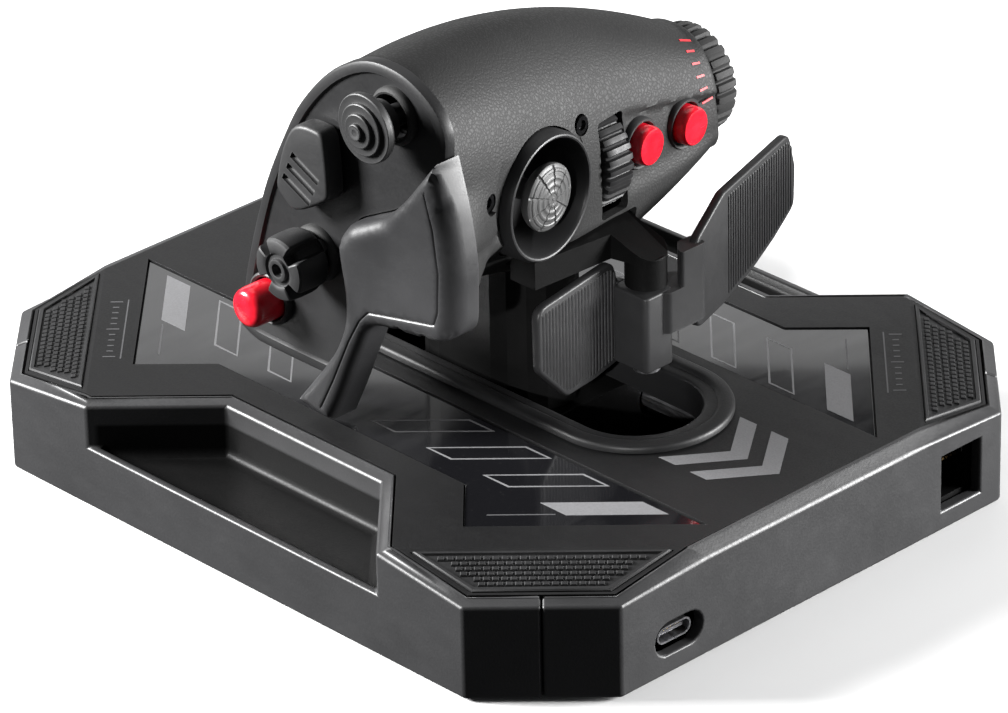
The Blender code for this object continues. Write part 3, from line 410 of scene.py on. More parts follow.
def bridge(bm, near, far):
    """Faces between two closed loops of vertices, either of which may be a single pole."""
    for i in range(max(len(near), len(far))):
        corners = [loop[k % len(loop)] for loop, k in ((near, i), (near, i + 1), (far, i + 1), (far, i))]
        bm.faces.new(list(dict.fromkeys(corners)))


def loft(rings, caps=(True, True)):
    """Skin rings of points that all have the same count, with or without end caps."""
    bm = bmesh.new()
    loops = [[bm.verts.new(p) for p in ring] for ring in rings]
    for near, far in zip(loops, loops[1:]):
        bridge(bm, near, far)
    if caps[0]:
        bm.faces.new(loops[0][::-1])
    if caps[1]:
        bm.faces.new(loops[-1])
    return bm


def layered(points, layers, plane=None):
    """A plate from one outline and (inset, height) layers, capped at both ends."""
    rings = []
    for distance, height in layers:
        ring = [Vector((x, y, height)) for x, y in inset(points, distance)]
        rings.append([plane @ p for p in ring] if plane else ring)
    return loft(rings)


def turned(profile, centre, axis, steps=64, shape=None):
    """A turned shape. The profile is (radius, height); shape(angle, r, h) may change both."""
    turn = Vector(axis).to_track_quat("Z", "Y").to_matrix()
    centre = Vector(centre)
    shape = shape or (lambda angle, radius, height: (radius, height))
    bm = bmesh.new()
    loops = []
    for radius, height in profile:
        loop = []
        for step in range(steps if radius > 0 else 1):
            angle = 2 * math.pi * step / steps
            r, h = shape(angle, radius, height)
            spot = Vector((r * math.cos(angle), r * math.sin(angle), h))
            loop.append(bm.verts.new(centre + turn @ spot))
        loops.append(loop)
    if len(loops[0]) > 1 and len(loops[-1]) > 1:          # a ring's profile closes on itself
        loops.append(loops[0])
    for near, far in zip(loops, loops[1:]):
        bridge(bm, near, far)
    return bm


def join(target, *others):
    """Add other meshes to the target as loose islands, and free them."""
    for other in others:
        mesh = bpy.data.meshes.new("join")
        other.to_mesh(mesh)
        other.free()
        target.from_mesh(mesh)
        bpy.data.meshes.remove(mesh)
    return target


def round_edges(bm, width, segments=3, pick=lambda edge: True):
    """Round the sharp edges that pick() wants."""
    sharp = [e for e in bm.edges if e.calc_face_angle(0.0) > math.radians(25) and pick(e)]
    bmesh.ops.bevel(bm, geom=sharp, offset=width, segments=segments, profile=0.5,
                    affect="EDGES", clamp_overlap=True)
    return bm


def arc(centre, radius, start, end, count):
    """Points on an arc, angles in degrees."""
    cx, cy = centre
    angles = [math.radians(start + (end - start) * i / count) for i in range(count + 1)]
    return [(cx + radius * math.cos(a), cy + radius * math.sin(a)) for a in angles]


def stadium(half_x, half_y, count=16):
    """A slot's outline: a rectangle with round ends in Y."""
    run = half_y - half_x
    return arc((0, run), half_x, 0, 180, count) + arc((0, -run), half_x, 180, 360, count)


def inset(points, distance):
    """Move a counter-clockwise outline inwards, with mitred corners."""
    moved = []
    for i, here in enumerate(points):
        before = Vector(here) - Vector(points[i - 1])
        after = Vector(points[(i + 1) % len(points)]) - Vector(here)
        n1 = Vector((-before.y, before.x)).normalized()
        n2 = Vector((-after.y, after.x)).normalized()
        mitre = (n1 + n2) * (distance / max(0.4, 1.0 + n1.dot(n2)))
        moved.append((here[0] + mitre.x, here[1] + mitre.y))
    return moved


def flowing(points, per=6, hard=()):
    """A closed curve through the points; it has corners at the hard ones."""
    count = len(points)
    curve = []
    for i in range(count):
        p0, p1, p2, p3 = (Vector(points[(i + k) % count]) for k in (-1, 0, 1, 2))
        t1 = Vector((0, 0)) if i in hard else (p2 - p0) / 2
        t2 = Vector((0, 0)) if (i + 1) % count in hard else (p3 - p1) / 2
        limit = (p2 - p1).length
        t1 = t1 * min(1.0, limit / max(t1.length, 0.001))
        t2 = t2 * min(1.0, limit / max(t2.length, 0.001))
        for step in range(per):
            t = step / per
            h = (2 * t**3 - 3 * t**2 + 1, t**3 - 2 * t**2 + t, -2 * t**3 + 3 * t**2, t**3 - t**2)
            point = p1 * h[0] + t1 * h[1] + p2 * h[2] + t2 * h[3]
            curve.append((point.x, point.y))
    return curve


def rounded(points, radius, steps=5):
    """A polygon whose corners become arcs, smaller where its sides are short."""
    curve = []
    for i, here in enumerate(points):
        here = Vector(here)
        back = Vector(points[i - 1]) - here
        ahead = Vector(points[(i + 1) % len(points)]) - here
        turn = math.pi - back.angle(ahead)
        cut = min(radius * math.tan(turn / 2), 0.45 * back.length, 0.45 * ahead.length)
        start, end = here + back.normalized() * cut, here + ahead.normalized() * cut
        for step in range(steps + 1):
            t = step / steps
            point = start * (1 - t)**2 + here * (2 * t * (1 - t)) + end * t**2
            curve.append((point.x, point.y))
    return curve


def smoothstep(low, high, value):
    """0 at low, 1 at high, which may be the smaller number."""
    t = min(1.0, max(0.0, (value - low) / (high - low)))
    return t * t * (3 - 2 * t)


def soften(node_name, width, segments=3, clamp=True):
    """Round a CAD node's edges with modifiers, which leave its own mesh alone."""
    node = NODES[node_name]
    weld = node.modifiers.new("Weld", "WELD")
    weld.merge_threshold = 0.00001
    flat = node.modifiers.new("Flat", "DECIMATE")
    flat.decimate_type = "DISSOLVE"
    flat.angle_limit = math.radians(0.6)
    edge = node.modifiers.new("Edge", "BEVEL")
    edge.width = width * MM
    edge.segments = segments
    edge.limit_method = "ANGLE"
    edge.angle_limit = math.radians(28)
    edge.use_clamp_overlap = clamp
    edge.harden_normals = False
    node.data.shade_smooth()
    smooth = node.modifiers.new("Normals", "WEIGHTED_NORMAL")
    smooth.keep_sharp = False


def dress(finish, *node_names):
    """Give CAD nodes a finish."""
    for name in node_names:
        mesh = NODES[name].data
        mesh.materials.clear()
        mesh.materials.append(finish)


# ---------------------------------------------------------------- base

def corner_drop(x, y):
    """How far the deck lies below its flat part."""
    return max(0.0, abs(x) + abs(y) - FOLD) / math.sqrt(2) * CORNER_SLOPE


def dress_nodes():
    """Finish the CAD nodes that no piece replaces, and round the edges of those that show."""
    numbers = range(1, 5)
    dress(SHELL, "skirt_front", "skirt_rear")
    # the side skirts take the finish with painted shade in their dishes
    dress(SHELL_DISH_SHADE, "skirt_left", "skirt_right")
    dress(DECK, "deck_plate")
    dress(INLAY, "deck_inlay_left", "deck_inlay_right")
    # painted shade: parts in shadow under the grip, in the slot, under the hats and inside the base get the
    # near-black finish
    dress(SHADE_BLACK_INNER, "bottom_cover", "accessory_jack", "carriage", "rail_bracket_front", "rail_bracket_rear",
          "hinge_block", "throttle_arm", "comm_switch", "castle_switch")
    dress(STEEL, "usb_socket", "guide_rail_left", "guide_rail_right", "hinge_pin", "wheel_axle",
          "knob_shaft", *(f"base_screw_{number}" for number in numbers))
    dress(BLACK_STEEL, "comm_gimbal", "castle_gimbal", "mini_stick_gimbal", "grip_screw_lower",
          "grip_screw_upper")
    dress(BLACK_RUBBER, *(f"rubber_foot_{number}" for number in numbers))
    dress(BRONZE, "linear_bushing_left", "linear_bushing_right")
    dress(BOARD, "main_board", "grip_board")
    for side in ("front", "rear", "left", "right"):
        soften(f"skirt_{side}", 0.6, clamp=False)
    for side in ("left", "right"):
        soften(f"deck_inlay_{side}", 0.2, 2)
    for name in ("carriage", "rail_bracket_front", "rail_bracket_rear"):
        soften(name, 0.6, 2)
    soften("bottom_cover", 0.3, 2)
    soften("hinge_block", 0.8, 4)


def make_bezel():
    """The slot's trim: a low rounded ring with a step, and a collar down into the deck."""
    profile = ((1.0, 24.5), (1.0, 25.3), (0.96, 25.8), (0.88, 26.05), (0.6, 26.1), (0.5, 25.9),
               (0.44, 25.45), (0.12, 25.4), (0.04, 25.2), (0.0, 24.8), (0.0, 18.2), (0.42, 18.2),
               (0.42, 24.5), (1.0, 24.5))                   # (share of the trim's width, height)
    pairs = list(zip(stadium(*SLOT, 48), stadium(*TRIM, 48)))
    rings = []
    for share, height in profile:
        rings.append([(ax + (bx - ax) * share, ay + (by - ay) * share, height)
                      for (ax, ay), (bx, by) in pairs])
    bm = loft(rings, (False, False))
    bmesh.ops.remove_doubles(bm, verts=bm.verts, dist=0.001)
    made("slot_trim", bm, DECK, "base", ("slot_bezel",), 40)


def pad_outline(sx, sy):
    """A pad between the fold and the corner's edge; sx and sy say which corner."""
    inner, outer = FOLD + PAD_FROM, FOLD + PAD_TO
    side_x, side_y = BASE_X - PAD_MARGIN, BASE_Y - PAD_MARGIN
    return ccw([(sx * side_x, sy * (inner - side_x)), (sx * side_x, sy * (outer - side_x)),
                (sx * (outer - side_y), sy * side_y), (sx * (inner - side_y), sy * side_y)])


def brick(centre, along, across, low, high):
    """A small raised block with sloping sides."""
    half_long, half_wide = (BRICK_LONG - BRICK_GAP) / 2, (BRICK_WIDE - BRICK_GAP) / 2
    rings = []
    for grow, height in ((1.0, low), (0.92, high - 0.12), (0.74, high)):
        ring = []
        for a, b in ((-1, -1), (1, -1), (1, 1), (-1, 1)):
            spot = centre + along * (a * half_long * grow) + across * (b * half_wide * grow)
            ring.append((spot.x, spot.y, height - corner_drop(spot.x, spot.y)))
        rings.append(ring)
    return loft(rings)


def make_corner_pad(name, sx, sy):
    """A rubber pad: a rimmed plate that follows the corner's slope, with rows of small bricks."""
    low, floor, crown = DECK_Z - 0.6, DECK_Z - 0.05, DECK_Z + 0.4
    rim, spare, columns = 1.3, 2.4, range(-13, 14)
    layers = ((0, low), (0, crown - 0.25), (0.25, crown), (0.95, crown), (1.1, floor))
    plate = layered(pad_outline(sx, sy), layers)
    for vert in plate.verts:
        vert.co.z -= corner_drop(vert.co.x, vert.co.y)
    across = Vector((sx, sy)) / math.sqrt(2)
    along = Vector((-across.y, across.x))
    middle = along * along.dot(Vector((sx * BASE_X, sy * BASE_Y)))
    start = (FOLD + PAD_FROM) / math.sqrt(2) + rim
    rows = int(((PAD_TO - PAD_FROM) / math.sqrt(2) - spare) / BRICK_WIDE)
    margin = PAD_MARGIN + rim + BRICK_WIDE / 2
    for row in range(rows):
        for column in columns:
            shift = (column + 0.5 * (row % 2)) * BRICK_LONG
            centre = across * (start + BRICK_WIDE * (row + 0.5)) + middle + along * shift
            if abs(centre.x) <= BASE_X - margin and abs(centre.y) <= BASE_Y - margin:
                join(plate, brick(centre, along, across, floor - 0.05, crown - 0.02))
    made(f"{name}_knurled", plate, PAD, "base", (name,))


def band(points, width, z):
    """A flat printed line of this width just inside a closed outline."""
    bm = bmesh.new()
    loops = [[bm.verts.new((x, y, z)) for x, y in line] for line in (points, inset(points, width))]
    bridge(bm, *loops)
    thicken(bm, INK_DEPTH - 0.01)
    return bm


def dash(start, end, width, z):
    """A flat printed bar between two points."""
    start, end = Vector(start), Vector(end)
    side = Vector((-(end - start).y, (end - start).x)).normalized() * (width / 2)
    points = [start - side, end - side, end + side, start + side]
    return outline_mesh([tuple(p) for p in points], z, z + INK_DEPTH - 0.01)


def ccw(points):
    """The same outline, counter-clockwise."""
    area = sum(a[0] * b[1] - b[0] * a[1] for a, b in zip(points, points[1:] + points[:1]))
    return points if area > 0 else points[::-1]


def make_inlay_print(side, name):
    """A ladder of leaning boxes on each glossy inlay, with a solid box and a line at its ends."""
    z = INLAY_Z - 0.01
    inner_x, outer_x = 26.0, 40.0
    lean, pitch, tall, first_y = 14.0, 16.1, 7.2, 17.5
    count, line = 4, 0.45
    bright, dim = bmesh.new(), bmesh.new()
    for sign in (1, -1):
        for step in range(count):
            inner_y = first_y + pitch * step
            outer_y = inner_y - lean
            corners = ((inner_x, inner_y), (outer_x, outer_y), (outer_x, outer_y + tall),
                       (inner_x, inner_y + tall))
            box = ccw([(side * x, sign * y) for x, y in corners])
            if step == count - 1:
                join(bright, outline_mesh(box, z, z + INK_DEPTH))
            else:
                join(bright if step else dim, band(box, line, z))
        join(dim, dash((side * 41.2, sign * 57.2), (side * 50.6, sign * 47.8), 0.35, z))
    made(f"inlay_print_{name}", bright, INK, "base")
    made(f"inlay_print_dim_{name}", dim, INK_DIM, "base")


def make_chevrons():
    """A plain double chevron ahead of the slot."""
    front, back, half, drop, thick = 77.5, 68.9, 11.5, 8.5, 4.6
    mark = bmesh.new()
    for tip in (front, back):
        points = [(0.0, tip), (-half, tip - drop), (-half, tip - drop - thick), (0.0, tip - thick),
                  (half, tip - drop - thick), (half, tip - drop)]
        join(mark, outline_mesh(ccw(points), DECK_Z - 0.01, DECK_Z - 0.01 + INK_DEPTH))
    made("deck_chevrons", mark, INK, "base")


def make_scale_marks():
    """A small scale on the deck beside two of the corner pads."""
    z = DECK_Z - 0.01
    pitch, before_fold, half_line, line_gap = 2.4, 3.2, 13.0, 2.4
    marks = bmesh.new()
    for sx, sy in ((1, -1), (-1, 1)):
        across = Vector((sx, sy)) / math.sqrt(2)
        along = Vector((-across.y, across.x)) * sx
        middle = across * ((FOLD - before_fold) / math.sqrt(2) - 1.2)
        middle += along * along.dot(Vector((sx * BASE_X, sy * BASE_Y)))
        for number in range(-5, 6):
            here = middle + along * (number * pitch)
            half = across * (1.3 if number % 5 == 0 else 0.65)
            join(marks, dash(here - half, here + half, 0.45, z))
        foot = middle - across * line_gap
        join(marks, dash(foot - along * half_line, foot + along * half_line, 0.3, z))
    made("deck_scale_marks", marks, INK_DIM, "base")


def wall_mark(start, end):
    """A dash let into the rear wall, between two (x, z) places."""
    bar = dash(start, end, 0.4, 0.0201)
    bmesh.ops.transform(bar, matrix=Matrix.Translation((0, BASE_Y, 0)) @ XZ.to_4x4(), verts=bar.verts)
    return bar


def contacts(name, first_x, pitch, count, half_wide, y, z):
    """A row of bronze contacts inside a socket of the rear wall, between the ends given by y and z."""
    bm = bmesh.new()
    for number in range(count):
        x = first_x + pitch * number
        join(bm, box_mesh((x - half_wide, y[0], z[0]), (x + half_wide, y[1], z[1])))
    made(name, bm, BRONZE, "base")


def make_socket_details():
    """Marks in the wall beside the two sockets, and the contacts inside them."""
    trident = (((38.0, 14.2), (38.0, 17.4)), ((36.4, 15.6), (38.0, 14.9)), ((39.6, 16.0), (38.0, 15.3)),
               ((36.4, 15.6), (36.4, 16.6)), ((39.6, 16.0), (39.6, 17.0)))
    link = (((-24.5, 14.2), (-30.5, 14.2)), ((-24.5, 11.8), (-28.0, 11.8)), ((-28.0, 9.6), (-33.6, 9.6)),
            ((-28.0, 9.6), (-28.0, 11.2)), ((-33.6, 9.6), (-32.6, 10.4)))
    legends = bmesh.new()
    for start, end in trident + link:
        join(legends, wall_mark(start, end))
    made("socket_legends", legends, INK_DIM, "base")
    contacts("jack_contacts", first_x=-46.0, pitch=1.16, count=8, half_wide=0.25,
             y=(74.0, 82.0), z=(12.2, 12.6))
    contacts("usb_contacts", first_x=35.5, pitch=1.0, count=6, half_wide=0.22,
             y=(79.0, 84.6), z=(8.66, 8.74))


# ---------------------------------------------------------------- barrel

def head_section():
    """Barrel section at the thumb face, (y, z), from the lower front over the top to the heel."""
    return [(29.0, 55.5), (31.4, 59.5), (31.8, 76.0), (31.0, 92.0), (25.4, 103.0), (14.5, 108.8),
            (3.0, 103.6), (-8.0, 93.0), (-16.0, 80.4), (-22.6, 65.0), (-27.2, 49.0), (-29.2, 37.0),
            (-25.0, 34.2), (-7.0, 34.2), (5.0, 43.0), (17.0, 52.0)]


def middle_section():
    """Barrel section halfway, flatter in front where the buttons are."""
    return [(22.5, 48.6), (25.8, 53.6), (26.2, 69.0), (25.4, 82.5), (20.6, 94.2), (10.5, 103.0),
            (0.4, 99.6), (-7.5, 91.0), (-13.0, 81.4), (-15.8, 74.0), (-16.5, 66.0), (-15.0, 59.5),
            (-10.5, 56.0), (-2.0, 54.4), (7.0, 52.6), (15.0, 50.4)]


def end_section():
    """Round behind the end knob, with a flat front and a lower front lobe."""
    return [(19.6, 60.8), (22.2, 63.6), (21.4, 70.0), (20.0, 76.4), (16.4, 83.0), (10.0, 85.8),
            (3.0, 84.8), (-1.6, 81.4), (-4.0, 77.0), (-4.8, 72.4), (-4.2, 67.8), (-1.4, 64.0),
            (2.6, 61.2), (7.0, 59.8), (11.6, 59.2), (16.0, 59.2)]


def barrel_cage(x):
    """The three sections blended by a parabola in x."""
    x = min(max(x, END_SECTION_X), BARREL_OPEN_X - 2.0)
    a, b, c = BARREL_OPEN_X, 0.0, END_SECTION_X
    wa = (x - b) * (x - c) / ((a - b) * (a - c))
    wb = (x - a) * (x - c) / ((b - a) * (b - c))
    wc = (x - a) * (x - b) / ((c - a) * (c - b))
    return [(wa * p[0] + wb * q[0] + wc * r[0], wa * p[1] + wb * q[1] + wc * r[1])
            for p, q, r in zip(head_section(), middle_section(), end_section())]


def barrel_point(cage, t):
    """A point of the closed cubic B-spline over a cage; t counts cage points."""
    count = len(cage)
    i = int(math.floor(t))
    u = t - i
    weights = ((1 - u)**3 / 6, (3 * u**3 - 6 * u**2 + 4) / 6, (-3 * u**3 + 3 * u**2 + 3 * u + 1) / 6,
               u**3 / 6)
    points = [cage[(i + k - 1) % count] for k in range(4)]
    return Vector([sum(w * p[axis] for w, p in zip(weights, points)) for axis in (0, 1)])


def front_normal():
    return Vector((-math.sin(FRONT_TURN), math.cos(FRONT_TURN), 0))


def on_front(x, z):
    """A point on the barrel's front surface."""
    return Vector((x, FRONT_Y - math.tan(FRONT_TURN) * (FACE_X - x) - 0.2, z))


def seam_z(x):
    """Height of the seam between the grained barrel and the smooth guard below it."""
    return 69.9 + 0.05 * max(0.0, x - 33.0)**2 + 0.03 * max(0.0, 33.0 - x)**2


def brow_z(x):
    """Height of the brow over the buttons, rising towards the wheel."""
    return 82.2 + 0.225 * x


def guard_z(x):
    """Lower edge of the front, which rises from the thumb rest's corner to under the stick's ring."""
    return 55.5 + 11.5 * smoothstep(48.5, 31.0, x) - 8.0 * smoothstep(24.0, 3.0, x)


def relief(x, y, z):
    """How far a point of the barrel moves along +Y for the swell beside the thumb rest and the cuts."""
    if y < 8.0:
        return 0.0
    front = smoothstep(8.0, 16.0, y)
    beside = smoothstep(21.0, 25.0, x)
    above = z - seam_z(x)
    under = 0.9 * max(0.0, guard_z(x) - z) * smoothstep(-14.0, -8.0, x)
    groove = 0.45 * math.exp(-(above / 0.45)**2) * beside
    shelf = 0.35 * smoothstep(0.3, -0.8, above) * beside
    brow = smoothstep(0.6, -0.6, z - brow_z(x)) * smoothstep(-11.0, -13.5, x) * smoothstep(61.0, 66.0, z)
    swell = 4.6 * smoothstep(27.0, 45.0, x) * smoothstep(84.0, 72.0, z) * smoothstep(50.0, 57.0, z)
    return front * (swell - under - groove - shelf - 0.9 * brow)


def barrel_skin():
    """Rings of the barrel's outer surface, ending in a closed outboard end."""
    around, per, pitch = 16, 12, 0.85
    round_from = BARREL_END_X + 1.0
    stations = [BARREL_OPEN_X - pitch * i for i in range(int((BARREL_OPEN_X - round_from) / pitch) + 1)]
    stations.append(round_from)
    rings = []
    for x in stations:
        cage = barrel_cage(x)
        points = [barrel_point(cage, step / per) for step in range(around * per)]
        rings.append([Vector((x, p.x + relief(x, p.x, p.y), p.y)) for p in points])
    last = rings[-1]
    _, cy, cz = KNOB_CENTRE
    for x, shrink in ((BARREL_END_X + 0.4, 0.975), (BARREL_END_X, 0.93), (BARREL_END_X, 0.5)):
        rings.append([Vector((x, cy + (p.y - cy) * shrink, cz + (p.z - cz) * shrink)) for p in last])
    return rings


def is_smooth_guard(centre):
    """True for the barrel's faces below the seam and underneath, which have no grain."""
    x, y, z = centre
    if y > 14.0 and x > 22.0 and z < seam_z(x):
        return True
    return x > -14.0 and (z < 58.0 or (y > 8.0 and z < guard_z(x)))


def barrel_cutters():
    """What is cut from the barrel: stick well, wheel slot, paddle room, arm slot and bores."""
    centre, normal = Vector(STICK_CENTRE), front_normal()
    high = centre + Vector((1.2, 0, 2.4))                   # a shallow flare above the stick's well
    x, y, z = WHEEL_CENTRE
    kx, ky, kz = KNOB_CENTRE
    tools = [
        rod_mesh(13.8, centre - normal * 13.4, centre + normal * 8, 96),
        rod_mesh(14.6, high - normal * 0.6, high + normal * 8, 96),
        round_edges(box_mesh((x - 4.1, 10, z - 10.5), (x + 4.1, 40, z + 10.5)), 0.8, 3),
        round_edges(box_mesh((-15.0, 18.6, 45), (17.0, 40, 58.5 + GAP)), 0.8, 2),
        outline_mesh(stadium(11.4, 19.2), 40, 60),
        rod_mesh(3.4, (kx - 6, ky, kz), (kx + 8, ky, kz)),
    ]
    bores = [(BUTTON_BORE, 8, 64, place) for place in RED_BUTTONS.values()]
    bores += [(2.2, 6, 32, place) for place in GRIP_SCREWS]
    for radius, reach, sides, place in bores:
        face = on_front(*place)
        tools.append(rod_mesh(radius, face - normal * reach, face + normal * reach, sides))
    return tools


def make_barrel():
    bm = loft(barrel_skin(), (False, True))
    barrel = made("barrel_grained", bm, GRIP, "throttle", ("barrel_shell",), 40)
    skin = barrel.modifiers.new("Skin", "SOLIDIFY")
    skin.thickness = BARREL_WALL * MM
    skin.offset = -1.0
    settle(barrel)
    carve(barrel, barrel_cutters(), sharp=40)
    barrel.data.materials.append(GRIP_SMOOTH)
    for face in barrel.data.polygons:
        if is_smooth_guard(face.center / MM):
            face.material_index = 1


def make_gauge_ticks():
    """Six small red ticks round the barrel, next to the end knob."""
    start, first, pitch, half = -36.6, 2.45, 0.36, 0.03     # the last three in cage points
    middle = Vector(KNOB_CENTRE[1:])
    bm = bmesh.new()
    for number in range(6):
        end = start - (3.4 if number % 5 == 0 else 2.4)
        corners = []
        for x, shift in ((start, -half), (start, half), (end, half), (end, -half)):
            point = barrel_point(barrel_cage(x), first + pitch * number + shift)
            out = (point - middle).normalized() * 0.12
            corners.append(Vector((x, *(point + out))))
        lower = [c - Vector((0, *out)) * 2 for c in corners]
        join(bm, loft([lower, corners]))
    made("gauge_ticks", bm, INK_RED, "throttle")


# ---------------------------------------------------------------- thumb face

def face_outline():
    """The thumb face, (y, z), counter-clockwise from the heel."""
    return [(-29.8, 34.7), (-24.5, 32.8), (-3.0, 32.7), (3.0, 40.0), (15.0, 54.0), (30.0, 58.0),
            (31.0, 86.0), (31.6, 97.0), (28.0, 102.5), (20.0, 106.4), (10.0, 106.3), (0.0, 101.0),
            (-9.2, 91.5), (-15.5, 80.8), (-21.5, 67.8), (-27.6, 48.0)]


def saddle_outline():
    """Thumb rest on the face, (y, z), counter-clockwise from the leg's foot."""
    return [(-9.0, 27.2), (0.6, 25.8), (4.6, 34.0), (9.6, 45.0), (13.8, 51.4), (32.4, 54.8),
            (36.2, 57.6), (36.9, 64.0), (36.9, 72.0), (35.2, 82.0), (32.2, 92.6), (28.0, 87.4),
            (22.9, 81.3), (17.6, 76.8), (11.4, 73.5), (6.2, 70.4), (4.5, 66.0), (6.0, 56.0),
            (5.6, 48.8), (2.0, 41.2), (-3.8, 33.6)]


SADDLE_HARD = (0, 1, 10)        # the corners of that outline
SADDLE_LINE = [(-1.4, 28.4), (2.4, 35.6), (7.4, 46.2), (10.6, 51.8), (13.2, 54.6), (32.0, 58.6),
               (33.0, 61.6), (33.4, 70.0), (32.2, 79.0), (30.2, 86.0)]      # its parting line, (y, z)
SADDLE_BACK, SADDLE_FRONT = FACE_X - 3.0, FACE_X + 4.6


def slider_outline():
    """The dogfight slider's plate, (y, z)."""
    return [(-9.6, 72.2), (-5.4, 69.9), (3.2, 74.6), (4.4, 76.6), (3.6, 87.6), (1.8, 89.4),
            (-4.6, 88.5), (-8.4, 82.6), (-10.6, 74.2)]


def slider_slot(half_wide, half_long):
    """A rectangle along the slider's travel, (y, z)."""
    along, across = SLIDE_WAY, Vector((-SLIDE_WAY.y, SLIDE_WAY.x))
    middle = Vector(SLIDER)
    corners = ((-1, 1), (-1, -1), (1, -1), (1, 1))
    return [tuple(middle + along * (half_long * a) + across * (half_wide * b)) for a, b in corners]


def make_face():
    """The face: a rounded rim, a fine step, and a slightly sunk panel with the control openings."""
    inner = FACE_X - 2.5
    behind, ahead = inner - 2, FACE_X + 2
    outline = flowing(face_outline(), 5, hard=(0, 2, 5))
    layers = ((0, inner), (0, FACE_X - 0.9), (0.25, FACE_X - 0.3), (0.8, FACE_X), (2.3, FACE_X),
              (2.6, FACE_X - 0.35), (2.75, FACE_X - 0.6))
    bm = layered(outline, layers, YZ)
    face = made("face_rimmed", bm, FACE, "throttle", ("face_plate",))
    room = inset(flowing(saddle_outline(), 5, SADDLE_HARD), -GAP)
    tools = [outline_mesh(room, behind, ahead + 1, YZ)]
    for y, z in (COMM, CASTLE, UNCAGE):
        tools.append(rod_mesh(4.6, (behind, y, z), (ahead, y, z)))
    tools.append(outline_mesh(slider_slot(2.2, 6.0), behind, ahead, YZ))
    carve(face, tools)


def roll_radius(y, z, ny, nz):
    """How softly the thumb rest's edge rolls over, from the place and outward direction of its outline."""
    if z < 53.0:
        return 2.6 if ny > 0.3 else 1.8                     # the leg, softer on its front side
    if ny > 0.6 and y > 29.0:
        return 3.6 * smoothstep(94.0, 80.0, z) + 1.2
    if nz > 0.3 and y < 20.0:
        return 3.6                                          # the ledge under the thumb
    return 2.0


def line_distance(point, line):
    """Distance from a 2-D point to an open line, and the number of the segment it is nearest to."""
    found = []
    for number, (start, end) in enumerate(zip(line, line[1:])):
        along = end - start
        t = max(0.0, min(1.0, (point - start).dot(along) / along.length_squared))
        found.append(((point - start - along * t).length, number))
    return min(found)


def inside(point, polygon):
    """True if the 2-D point lies inside the polygon."""
    odd = False
    for start, end in zip(polygon, polygon[1:] + polygon[:1]):
        if (start.y > point.y) != (end.y > point.y):
            if point.x < start.x + (end.x - start.x) * (point.y - start.y) / (end.y - start.y):
                odd = not odd
    return odd


def edge_radii(outline):
    """The roll's radius at each point of the thumb rest's outline, evened out along it."""
    count = len(outline)
    radii = []
    for i, here in enumerate(outline):
        ahead = outline[(i + 1) % count] - outline[i - 1]
        out = Vector((ahead.y, -ahead.x)).normalized()
        radii.append(roll_radius(here.x, here.y, out.x, out.y))
    for _ in range(4):
        radii = [(radii[i - 1] + radii[i] * 2 + radii[(i + 1) % count]) / 4 for i in range(count)]
    return radii


def saddle_points(outline, line):
    """What the skin is triangulated from: the outline, steps inside it, the parting line and a grid."""
    closed = outline + outline[:1]
    points = list(outline)
    for step in (0.12, 0.35, 0.7, 1.2):
        for spot in map(Vector, inset(outline, step)):
            if inside(spot, outline) and line_distance(spot, closed)[0] > 0.85 * step:
                points.append(spot)
    along_pitch, grid_pitch = 0.6, 0.9
    for start, end in zip(line, line[1:]):
        way = (end - start).normalized()
        for number in range(int((end - start).length / along_pitch) + 1):
            for aside in (-0.4, -0.16, 0.0, 0.16, 0.4):
                points.append(start + way * (along_pitch * number) + Vector((-way.y, way.x)) * aside)
    corner, rows, columns = Vector((-10.0, 26.0)), 76, 54
    for row in range(rows):
        for column in range(columns):
            spot = corner + Vector((column + 0.5 * (row % 2), row)) * grid_pitch
            if (inside(spot, outline) and line_distance(spot, line)[0] > 0.7
                    and line_distance(spot, closed)[0] > 1.5):
                points.append(spot)
    return points


def saddle_drop(spot, distance, radius, line):
    """How far the skin lies behind its front, for the rolled edge, the parting line and a soft dish."""
    lack = max(0.0, radius - distance)
    roll = radius - math.sqrt(max(0.0, radius**2 - lack**2))
    groove = 0.35 * math.exp(-(line_distance(spot, line)[0] / 0.15)**2)
    dish = 0.9 * math.exp(-((spot.x - 20.0) / 8.0)**2 - ((spot.y - 67.0) / 8.0)**2)
    return roll + groove + dish


def make_saddle():
    """The thumb rest: a skin whose edges roll over by different amounts, with a fine parting line."""
    outline = [Vector(p) for p in flowing(saddle_outline(), 6, SADDLE_HARD)]
    line = [Vector(p) for p in SADDLE_LINE]
    closed = outline + outline[:1]
    radii = edge_radii(outline)
    border = [list(range(len(outline)))]
    flat, _, triangles, *_ = delaunay_2d_cdt(saddle_points(outline, line), [], border, 1, 0.01)
    bm = bmesh.new()
    skin = []
    for spot in flat:
        distance, number = line_distance(spot, closed)
        drop = saddle_drop(spot, distance, radii[number], line)
        skin.append(bm.verts.new((SADDLE_FRONT - drop, spot.x, spot.y)))
    for triangle in triangles:
        bm.faces.new([skin[i] for i in triangle])
    walls = bmesh.ops.extrude_edge_only(bm, edges=[edge for edge in bm.edges if edge.is_boundary])["geom"]
    for vert in walls:
        if isinstance(vert, bmesh.types.BMVert):
            vert.co.x = SADDLE_BACK
    bmesh.ops.holes_fill(bm, edges=[edge for edge in bm.edges if edge.is_boundary], sides=0)
    made("thumb_saddle_soft", bm, SADDLE, "throttle", ("thumb_saddle",), 50)


HAT_STEM = [(2.2, 1.5), (1.4, -1.2), (0, -1.6)]         # the hidden lower end of a hat's profile


